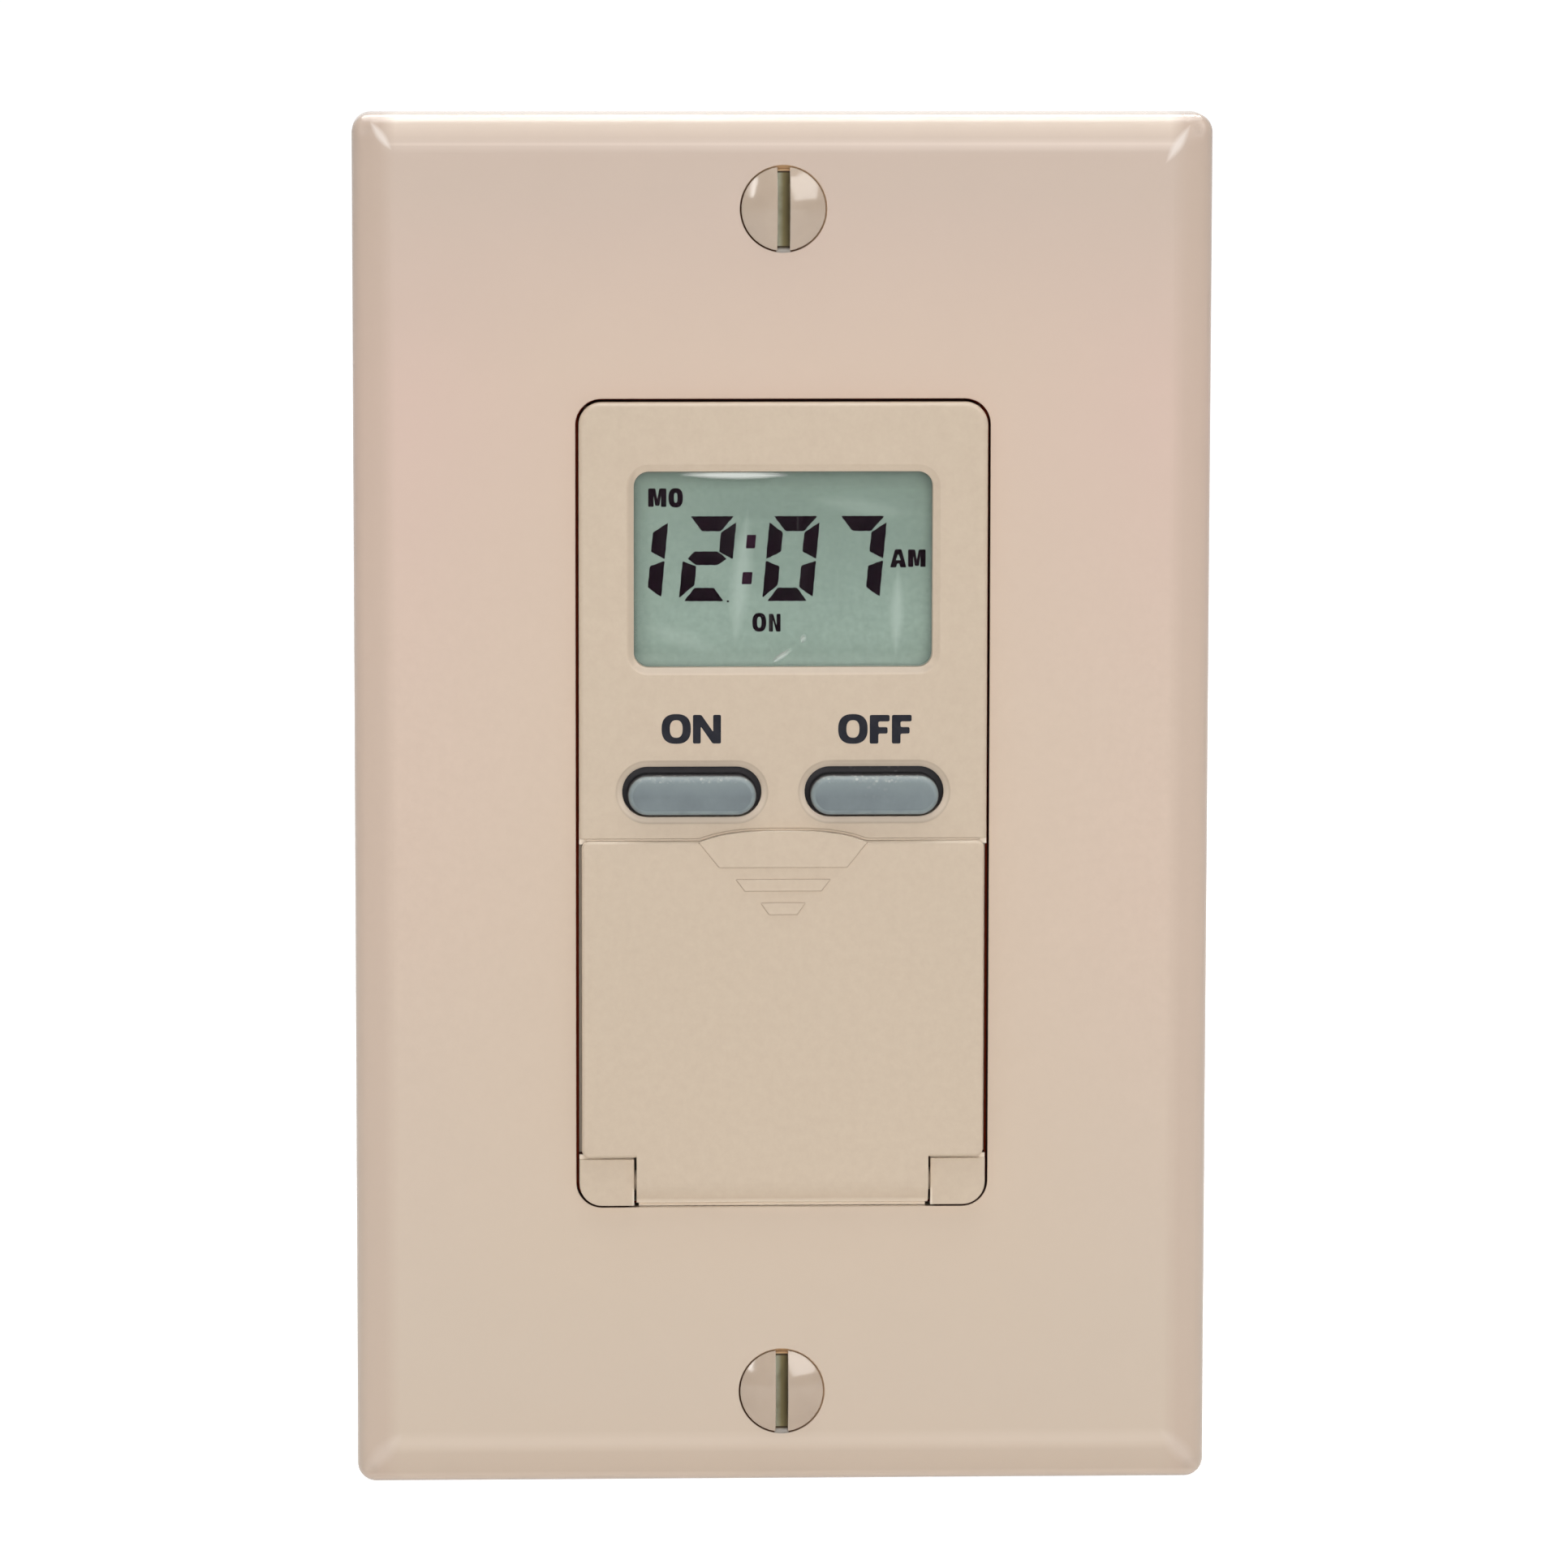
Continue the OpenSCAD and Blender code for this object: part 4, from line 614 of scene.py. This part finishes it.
def printed(name, ink, faded):
    """Ink film: near-even colour with the slight patchiness of a pad print or display electrode."""
    g = Graph(name)
    colour = g.mix(g.spread(g.noise(900.0, 3.0), 0.35, 0.7), ink, faded)
    gloss = g.patches(1500.0, start=0.42, end=0.6)
    fine = g.bump(g.noise(4200.0, 2.0), 0.003 * MM)
    return g.surface(colour, gloss, fine, level=0.04)


ivory_plate = moulded(
    "ivory_plate_finish", linear(222, 197, 179), linear(218, 197, 177), 0.22,
    depth=0.0015, wear=linear(226, 210, 196), matt_marks=plate_seams_and_seats, shades=plate_tints_and_painted_light,
    mottle=0.10, swing=0.04, drift_scale=16.0, hips=0.9)
ivory_face = moulded(
    "ivory_face_finish", linear(216, 198, 176), linear(213, 195, 173), 0.42, depth=0.005,
    wear=linear(220, 204, 186), matt_marks=face_painted_seams, shades=face_painted_light_and_shade, mottle=0.16, level=0.3)
ivory_door = moulded(
    "ivory_door_finish", linear(217, 199, 177), linear(214, 196, 174), 0.40, depth=0.005,
    wear=linear(222, 206, 188), matt_marks=door_painted_seams, shades=door_painted_foot_shade, mottle=0.16, level=0.3)
# Pale film that covers the shade in seams: painted light, shaped as settled dust
seam_light_film = moulded("seam_light_film_finish", linear(226, 208, 187), linear(216, 197, 175), 0.9, depth=0.01)
painted_screw = screw_paint("painted_screw_finish")
rubber_button = soft_rubber(
    "button_rubber_finish", linear(112, 121, 125), linear(140, 152, 153), linear(214, 214, 208),
    flank_shade=linear(68, 66, 68))
rubber_key = soft_rubber(
    "key_rubber_finish", linear(96, 103, 108), linear(120, 127, 131), linear(190, 188, 182))
rubber_mat = soft_rubber(
    "mat_rubber_finish", linear(150, 152, 150), linear(170, 172, 170), linear(196, 194, 188))
rubber_zebra = soft_rubber(
    "zebra_rubber_finish", linear(58, 58, 62), linear(120, 118, 116), linear(150, 148, 144))
SCREW_BRUSH = (900.0, 60.0, 900.0)
zinc = metal("zinc_finish", linear(190, 192, 194), linear(172, 175, 178), 0.36, linear(150, 152, 156))
zinc_screw = metal("zinc_screw_finish", linear(198, 198, 196), linear(180, 180, 178), 0.30,
                   linear(160, 150, 128), brushed=SCREW_BRUSH)
green_screw = metal("green_screw_finish", linear(74, 128, 78), linear(58, 108, 64), 0.34,
                    linear(120, 140, 96), brushed=SCREW_BRUSH)
brass = metal("brass_finish", linear(205, 172, 96), linear(188, 152, 80), 0.30, linear(140, 104, 58))
fibre = moulded("fibre_finish", linear(176, 120, 82), linear(160, 104, 70), 0.8, grain=1500.0, depth=0.03,
                wear=linear(200, 152, 112), drift_scale=240.0)
black_housing = moulded("black_housing_finish", linear(42, 42, 44), linear(48, 47, 48), 0.52, grain=1500.0,
                        depth=0.02, edge=0.25, wear=linear(92, 91, 92), crevice_tint=linear(24, 23, 23))
black_bush = moulded("black_bush_finish", linear(34, 34, 35), linear(40, 40, 41), 0.45, grain=1900.0,
                     depth=0.01, wear=linear(80, 80, 82), crevice_tint=linear(18, 18, 18))
black_chip = moulded("chip_finish", linear(40, 40, 43), linear(48, 48, 50), 0.6, grain=3000.0, depth=0.008,
                     wear=linear(84, 84, 86), drift_scale=160.0)
black_frame = moulded("frame_finish", linear(52, 53, 56), linear(60, 60, 62), 0.5, wear=linear(96, 96, 98))
blue_sleeve = moulded("sleeve_finish", linear(62, 84, 132), linear(54, 74, 120), 0.3,
                      wear=linear(120, 138, 176))
relay_cover = moulded("relay_finish", linear(44, 70, 122), linear(52, 78, 128), 0.36,
                      wear=linear(110, 130, 170))
film_case = moulded("film_case_finish", linear(196, 178, 66), linear(184, 164, 58), 0.36,
                    wear=linear(220, 206, 120))
can_sleeve = moulded("can_sleeve_finish", linear(36, 38, 52), linear(44, 46, 62), 0.28,
                     wear=linear(96, 98, 112))
disc_coat = moulded("disc_coat_finish", linear(34, 84, 160), linear(40, 92, 168), 0.3,
                    wear=linear(96, 136, 192))
resistor_coat = moulded("resistor_coat_finish", linear(118, 146, 168), linear(108, 136, 160), 0.45,
                        wear=linear(160, 182, 198))
board = circuit_board("board_finish")
cell = display_glass("display_glass_finish")
window = clear_window("clear_window_finish")
label_ink = printed("label_ink_finish", linear(42, 43, 50), linear(52, 52, 58))
segment_ink = printed("segment_ink_finish", linear(12, 2, 9), linear(24, 8, 19))
faint_ink = printed("faint_ink_finish", linear(36, 14, 30), linear(54, 27, 45))

FINISHES = {
    "wallplate": ivory_plate,
    "wallplate_screws": painted_screw,
    "mounting_strap": zinc,
    "mounting_screws": zinc_screw,
    "screw_retainers": fibre,
    "ground_screw": green_screw,
    "front_bezel": ivory_face,
    "lcd_window": window,
    "lcd_cell": cell,
    "lcd_frame": black_frame,
    "zebra_strips": rubber_zebra,
    "on_button": rubber_button,
    "off_button": rubber_button,
    "door": ivory_door,
    "mode_key": rubber_key,
    "day_key": rubber_key,
    "hour_key": rubber_key,
    "minute_key": rubber_key,
    "set_key": rubber_key,
    "clear_key": rubber_key,
    "keypad_mat": rubber_mat,
    "control_board": board,
    "control_board_screws": zinc_screw,
    "microcontroller": black_chip,
    "clock_crystal": zinc,
    "backup_capacitor": blue_sleeve,
    "board_link": black_frame,
    "power_board": board,
    "power_board_screws": zinc_screw,
    "relay": relay_cover,
    "supply_capacitor": film_case,
    "filter_capacitor": can_sleeve,
    "varistor": disc_coat,
    "fuse_resistor": resistor_coat,
    "lead_terminals": brass,
    "rear_housing": black_housing,
    "lead_bushing": black_bush,
    "assembly_rivets": brass,
}
for name, obj in nodes.items():
    obj.data.materials.clear()
    obj.data.materials.append(FINISHES[name])


# Printed words and display content

ARC_STEPS = 4
ARC_SHARE = 0.45  # most that an arc takes of a side
BLEED_STEP = 0.13
BLEED_WAVES = ((23.0, 41.0, 0.0), (57.0, -31.0, 1.7))  # along x, along z, phase
INK = 0.012  # height of an ink film above its ground
SINK = 0.004  # depth of its back below the ground


def rounded(points, radius):
    """Outline with each corner cut to an arc of about that radius."""
    out = []
    count = len(points)
    for i in range(count):
        here = Vector(points[i])
        back, ahead = Vector(points[i - 1]) - here, Vector(points[(i + 1) % count]) - here
        reach = min(radius, ARC_SHARE * back.length, ARC_SHARE * ahead.length)
        start, end = here + back.normalized() * reach, here + ahead.normalized() * reach
        for k in range(ARC_STEPS + 1):
            t = k / ARC_STEPS
            out.append(tuple((1 - t) ** 2 * start + 2 * t * (1 - t) * here + t * t * end))
    return out


def grown(points, by):
    """Outline moved outwards by a distance, with mitred corners."""
    turn = math.copysign(1.0, sum(p[0] * q[1] - q[0] * p[1] for p, q in zip(points, points[1:] + points[:1])))
    out = []
    for i, point in enumerate(points):
        here = Vector(point)
        before = (here - Vector(points[i - 1])).normalized()
        after = (Vector(points[(i + 1) % len(points)]) - here).normalized()
        first, second = Vector((before.y, -before.x)) * turn, Vector((after.y, -after.x)) * turn
        out.append(tuple(here + (first + second) / (1 + first.dot(second)) * by))
    return out


def ragged(points, depth):
    """Outline with the small uneven bleed of an ink edge."""
    out = []
    for i, point in enumerate(points):
        here, ahead = Vector(point), Vector(points[(i + 1) % len(points)])
        run = ahead - here
        if run.length < 1e-9:
            continue
        side = Vector((run.y, -run.x)).normalized()
        count = max(1, round(run.length / BLEED_STEP))
        for k in range(count):
            at = here + run * (k / count)
            wave = sum(math.sin(a * at.x + b * at.y + phase) for a, b, phase in BLEED_WAVES)
            out.append(tuple(at + side * (0.5 * depth * wave)))
    return out


def oval(cx, cz, half_w, half_h, power=2.5, steps=48):
    """Superellipse, rounder than a box and squarer than an ellipse."""
    out = []
    for k in range(steps):
        a = 2 * math.pi * k / steps
        c, s = math.cos(a), math.sin(a)
        out.append((cx + half_w * math.copysign(abs(c) ** (2 / power), c),
                    cz + half_h * math.copysign(abs(s) ** (2 / power), s)))
    return out


def film(name, shapes, front, thick, finish, body):
    """Closed thin film from flat outlines; a shape is a list of loops, the first its outside."""
    mesh = bmesh.new()
    for loops in shapes:
        flat = [Vector((x, z, 0)) for loop in loops for x, z in loop]
        faces = tessellate_polygon([[Vector((x, z, 0)) for x, z in loop] for loop in loops])
        near = [mesh.verts.new((p.x * MM, -front * MM, p.y * MM)) for p in flat]
        far = [mesh.verts.new((p.x * MM, (thick - front) * MM, p.y * MM)) for p in flat]
        for a, b, c in faces:
            mesh.faces.new((near[a], near[b], near[c]))
            mesh.faces.new((far[c], far[b], far[a]))
        first = 0
        for loop in loops:
            count = len(loop)
            for k in range(count):
                i, j = first + k, first + (k + 1) % count
                mesh.faces.new((near[i], near[j], far[j], far[i]))
            first += count
    bmesh.ops.recalc_face_normals(mesh, faces=mesh.faces)
    data = bpy.data.meshes.new(name)
    mesh.to_mesh(data)
    mesh.free()
    obj = bpy.data.objects.new(name, data)
    bpy.context.scene.collection.objects.link(obj)
    data.materials.append(finish)
    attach(obj, body)


def letter(kind, left, low, right, high, stem, arm):
    """Loops of one bold capital that fills the box from (left, low) to (right, high)."""
    w, h = right - left, high - low
    if kind == "O":
        cx, cz = (left + right) / 2, (low + high) / 2
        return [oval(cx, cz, w / 2, h / 2), oval(cx, cz, w / 2 - stem, h / 2 - arm)]
    corner, drop = stem * 1.08, stem * 1.5  # diagonal of the N
    bar, reach = 0.575 * h, 0.9 * w  # lower arm of the F
    shoulder, notch, crotch = stem * 1.3, 0.42 * h, 0.62 * h  # M
    tip, point = stem * 0.4, 0.06 * h
    peak, leg = stem * 0.6, stem * 1.1  # A
    slope, rung = 0.09 * w, 0.22 * h
    outlines = {
        "N": [(0, 0), (0, h), (corner, h), (w - stem, drop), (w - stem, h), (w, h), (w, 0),
              (w - corner, 0), (stem, h - drop), (stem, 0)],
        "F": [(0, 0), (0, h), (w, h), (w, h - arm), (stem, h - arm), (stem, bar), (reach, bar),
              (reach, bar - arm), (stem, bar - arm), (stem, 0)],
        "M": [(0, 0), (0, h), (shoulder, h), (w / 2, notch), (w - shoulder, h), (w, h), (w, 0), (w - stem, 0),
              (w - stem, crotch), (w / 2 + tip, point), (w / 2 - tip, point), (stem, crotch), (stem, 0)],
        "A": [(0, 0), (w / 2 - peak, h), (w / 2 + peak, h), (w, 0), (w - leg, 0),
              (w - leg - slope, rung), (leg + slope, rung), (leg, 0)],
    }
    loops = [rounded([(left + x, low + z) for x, z in outlines[kind]], 0.16 * stem + 0.03)]
    if kind == "A":
        eye_top, eye_half, eye_foot = 0.74 * h, 0.15 * w, 0.40 * h
        hole = [(w / 2, eye_top), (w / 2 + eye_half, eye_foot), (w / 2 - eye_half, eye_foot)]
        loops.append([(left + x, low + z) for x, z in hole])
    return loops


on_word = [
    letter("O", -9.86, 5.16, -7.49, 7.59, 0.67, 0.50),
    letter("N", -7.32, 5.18, -5.05, 7.52, 0.63, 0.50),
]
off_word = [
    letter("O", 4.46, 5.12, 6.85, 7.55, 0.67, 0.50),
    letter("F", 7.02, 5.13, 8.63, 7.47, 0.70, 0.53),
    letter("F", 8.82, 5.13, 10.42, 7.47, 0.70, 0.53),
]
film("on_word", on_word, FACE_FRONT + INK, INK + SINK, label_ink, "device")
film("off_word", off_word, FACE_FRONT + INK, INK + SINK, label_ink, "device")

# Segments of one slanted digit, 4 mm wide and 7 mm high, named from the top clockwise and the middle last
SLANT = 0.092
DIGIT_LOW = 16.45
SWELL, SEGMENT_ARC, SEGMENT_BLEED = 0.035, 0.12, 0.026
SEGMENTS = {
    "a": [(0.36, 7.0), (3.73, 7.0), (2.83, 5.84), (1.34, 5.84)],
    "b": [(4.0, 6.46), (4.0, 3.60), (2.9, 4.15), (2.9, 5.68)],
    "c": [(4.0, 3.36), (4.0, 0.52), (2.9, 1.25), (2.9, 2.95)],
    "d": [(1.14, 1.17), (2.70, 1.17), (3.52, 0.15), (0.45, 0.15)],
    "e": [(0.0, 3.35), (1.09, 2.92), (1.09, 1.45), (0.0, 0.47)],
    "f": [(0.0, 6.46), (1.1, 5.68), (1.1, 4.15), (0.0, 3.60)],
    "g": [(0.40, 3.57), (0.88, 4.13), (2.74, 4.13), (3.50, 3.56), (2.80, 3.09), (1.12, 3.09)],
}
DIGITS = [("bc", -13.91), ("abged", -8.39), ("abcdef", -1.63), ("abc", 3.81)]


def slanted(points, left):
    """Points of a segment in its digit's place."""
    return [(left + x + SLANT * z, DIGIT_LOW + z) for x, z in points]


def segment(key, left):
    """Outline of one lit segment, swollen a little, with soft corners and a bleeding edge."""
    swollen = grown(slanted(SEGMENTS[key], left), SWELL)
    return ragged(rounded(swollen, SEGMENT_ARC), SEGMENT_BLEED)


lit = [[segment(key, left)] for keys, left in DIGITS for key in keys]
lit.append([oval(-4.43, 16.55, 0.10, 0.08, 2.0, 16)])  # small blemish after the second digit
words = [
    letter("M", -10.89, 24.25, -9.42, 25.75, 0.44, 0.34),
    letter("O", -9.25, 24.20, -8.08, 25.77, 0.44, 0.38),
    letter("A", 8.73, 19.28, 10.06, 20.76, 0.44, 0.34),
    letter("M", 10.19, 19.32, 11.62, 20.74, 0.43, 0.34),
    letter("O", -2.44, 14.07, -1.32, 15.60, 0.38, 0.32),
    letter("N", -1.10, 14.07, -0.15, 15.52, 0.33, 0.30),
]
colon = [
    [rounded([(-2.98, 20.86), (-2.88, 21.96), (-2.14, 21.96), (-2.24, 20.86)], 0.08)],
    [rounded([(-3.32, 17.94), (-3.22, 18.93), (-2.42, 18.93), (-2.52, 17.94)], 0.08)],
]

# Pale films that cover the shade of three seams as painted light, shaped as dust: in the seam above the door,
# below the hinge barrel, and on the opening's sill
SEAM_PLACES = [0.4 * k for k in range(-40, 41)]
TAB_RISE, TAB_POWER = 0.92, 3.2
LEDGE_FILM_FRONT, LEDGE_FILM_DEPTH = 6.585, 0.38
HINGE_FILM_FRONT, HINGE_FILM_DEPTH = 5.56, 0.10
HINGE_FILM_HALF = 11.7


def seam_line(half, flat, foot, shift):
    """One edge of the seam above the door: straight at both sides, an arc over the nail tab."""
    def arc(x):
        return foot + TAB_RISE * (1 - (abs(x) / half) ** TAB_POWER)
    return [(x, max(flat, arc(x)) + shift) for x in SEAM_PLACES]


def pale_strip(low, high, depth):
    """Ragged pale strip as wide as the door's tongue, painted light shaped as dust."""
    half = HINGE_FILM_HALF
    return [[ragged([(-half, low), (-half, high), (half, high), (half, low)], depth)]]


ledge_light_film = [[seam_line(7.03, -2.6, -2.68, -0.02) + seam_line(6.83, -2.8, -2.88, 0.03)[::-1]]]
barrel_light_film = pale_strip(-32.97, -32.72, 0.02)
sill_light_film = pale_strip(-33.09, -33.03, 0.01)
film("ledge_light_film", ledge_light_film, LEDGE_FILM_FRONT, LEDGE_FILM_DEPTH, seam_light_film, "device")
film("barrel_light_film", barrel_light_film, HINGE_FILM_FRONT, HINGE_FILM_DEPTH, seam_light_film, "door")
film("sill_light_film", sill_light_film, HINGE_FILM_FRONT, HINGE_FILM_DEPTH, seam_light_film, "device")
film("display_digits", lit, CELL_FRONT + INK, INK + SINK, segment_ink, "device")
film("display_words", words, CELL_FRONT + INK, INK + SINK, segment_ink, "device")
film("display_colon", colon, CELL_FRONT + INK, INK + SINK, faint_ink, "device")


# Studio, in metres: floor, backdrop light and lamps

FLOOR_REACH = 6.0
FLOOR_GLOW = 0.85
AMBIENT = 0.25


def pale_floor():
    """White floor that glows for the camera, so that only the object's soft shadow marks it."""
    g = Graph("floor_finish")
    path = g.add("ShaderNodeLightPath").outputs
    seen = g.either(path["Is Camera Ray"], g.either(path["Is Glossy Ray"], path["Is Transmission Ray"]))
    paper = g.mix(g.patches(3.0), (0.78, 0.78, 0.78, 1.0), (0.82, 0.82, 0.82, 1.0))
    lit_floor = g.add("ShaderNodeBsdfDiffuse")
    g.link(paper, lit_floor.inputs["Color"])
    glow = g.add("ShaderNodeEmission")
    g.link(g.both(seen, FLOOR_GLOW), glow.inputs["Strength"])
    both = g.add("ShaderNodeAddShader")
    g.link(lit_floor.outputs["BSDF"], both.inputs[0])
    g.link(glow.outputs["Emission"], both.inputs[1])
    g.link(both.outputs["Shader"], g.output.inputs["Surface"])
    data = bpy.data.meshes.new("floor")
    reach, level = FLOOR_REACH, cad_low.z
    places = [(-reach, -reach, level), (reach, -reach, level), (reach, reach, level), (-reach, reach, level)]
    data.from_pydata(places, [], [(0, 1, 2, 3)])
    data.materials.append(g.material)
    floor = bpy.data.objects.new("floor", data)
    bpy.context.scene.collection.objects.link(floor)


def white_world():
    """World that is plain white where it is seen or mirrored, and lights the object only faintly."""
    world = bpy.data.worlds.new("studio")
    bpy.context.scene.world = world
    world.use_nodes = True
    tree = world.node_tree
    tree.nodes.clear()
    path = tree.nodes.new("ShaderNodeLightPath").outputs
    first = tree.nodes.new("ShaderNodeMath")
    first.operation = "MAXIMUM"
    tree.links.new(path["Is Glossy Ray"], first.inputs[0])
    tree.links.new(path["Is Transmission Ray"], first.inputs[1])
    seen = tree.nodes.new("ShaderNodeMath")
    seen.operation = "MAXIMUM"
    tree.links.new(path["Is Camera Ray"], seen.inputs[0])
    tree.links.new(first.outputs["Value"], seen.inputs[1])
    strength = tree.nodes.new("ShaderNodeMapRange")
    tree.links.new(seen.outputs["Value"], strength.inputs["Value"])
    strength.inputs["To Min"].default_value = AMBIENT
    strength.inputs["To Max"].default_value = 1.0
    back = tree.nodes.new("ShaderNodeBackground")
    back.inputs["Color"].default_value = (1.0, 1.0, 1.0, 1.0)
    tree.links.new(strength.outputs["Result"], back.inputs["Strength"])
    tree.links.new(back.outputs["Background"], tree.nodes.new("ShaderNodeOutputWorld").inputs["Surface"])


def lamp(name, place, aim, width, height, power, diffuse=True, glossy=True):
    """Area lamp turned to its aim; without glossy it only shades, without diffuse it only shines."""
    data = bpy.data.lights.new(name, "AREA")
    data.shape = "RECTANGLE"
    data.size, data.size_y = width, height
    data.energy = power
    obj = bpy.data.objects.new(name, data)
    bpy.context.scene.collection.objects.link(obj)
    obj.location = place
    obj.visible_diffuse = diffuse
    obj.visible_glossy = glossy
    obj.rotation_euler = (Vector(aim) - Vector(place)).to_track_quat("-Z", "Y").to_euler()


pale_floor()
white_world()
lamp("front_softbox", (0.06, -1.08, 0.20), (0, 0, 0), 0.9, 0.5, 5.1, glossy=False)
lamp("key_softbox", (0.56, -0.67, 0.56), (0, 0, 0), 0.72, 0.70, 5.1, diffuse=False)
lamp("left_strip", (-0.74, -0.57, 0.54), (0, 0, 0), 0.11, 0.50, 1.2, diffuse=False)
lamp("top_softbox", (0.0, -0.02, 0.80), (0, -0.02, 0), 0.90, 0.80, 5.0, glossy=False)
lamp("top_sheen", (0.0, 0.16, 0.80), (0, 0.16, 0), 0.90, 0.94, 40.0, diffuse=False)


# Camera at the photograph's viewing angle, in metres and in pixels of the photograph

PHOTO_PX = 1932
SENSOR_WIDTH = 36.0
SHIFT_PX = (5.0, 15.2)
DISTANCE = 0.7
PITCH = math.radians(7.29)
YAW = math.radians(-2.24)
ROLL = math.radians(0.09)
FOCAL_PX = 10530.0
towards = Vector((math.sin(YAW) * math.cos(PITCH), -math.cos(YAW) * math.cos(PITCH), math.sin(PITCH)))
lens = bpy.data.cameras.new("photo_camera")
lens.sensor_width = SENSOR_WIDTH
lens.lens = FOCAL_PX / PHOTO_PX * SENSOR_WIDTH
lens.shift_x, lens.shift_y = SHIFT_PX[0] / PHOTO_PX, SHIFT_PX[1] / PHOTO_PX
lens.clip_start, lens.clip_end = 0.01, 50.0
camera = bpy.data.objects.new("photo_camera", lens)
bpy.context.scene.collection.objects.link(camera)
camera.location = towards * DISTANCE
camera.rotation_mode = "QUATERNION"
camera.rotation_quaternion = (-towards).to_track_quat("-Z", "Y") @ Quaternion((0, 0, 1), ROLL)
bpy.context.scene.camera = camera
bpy.context.scene.view_settings.view_transform = "Standard"
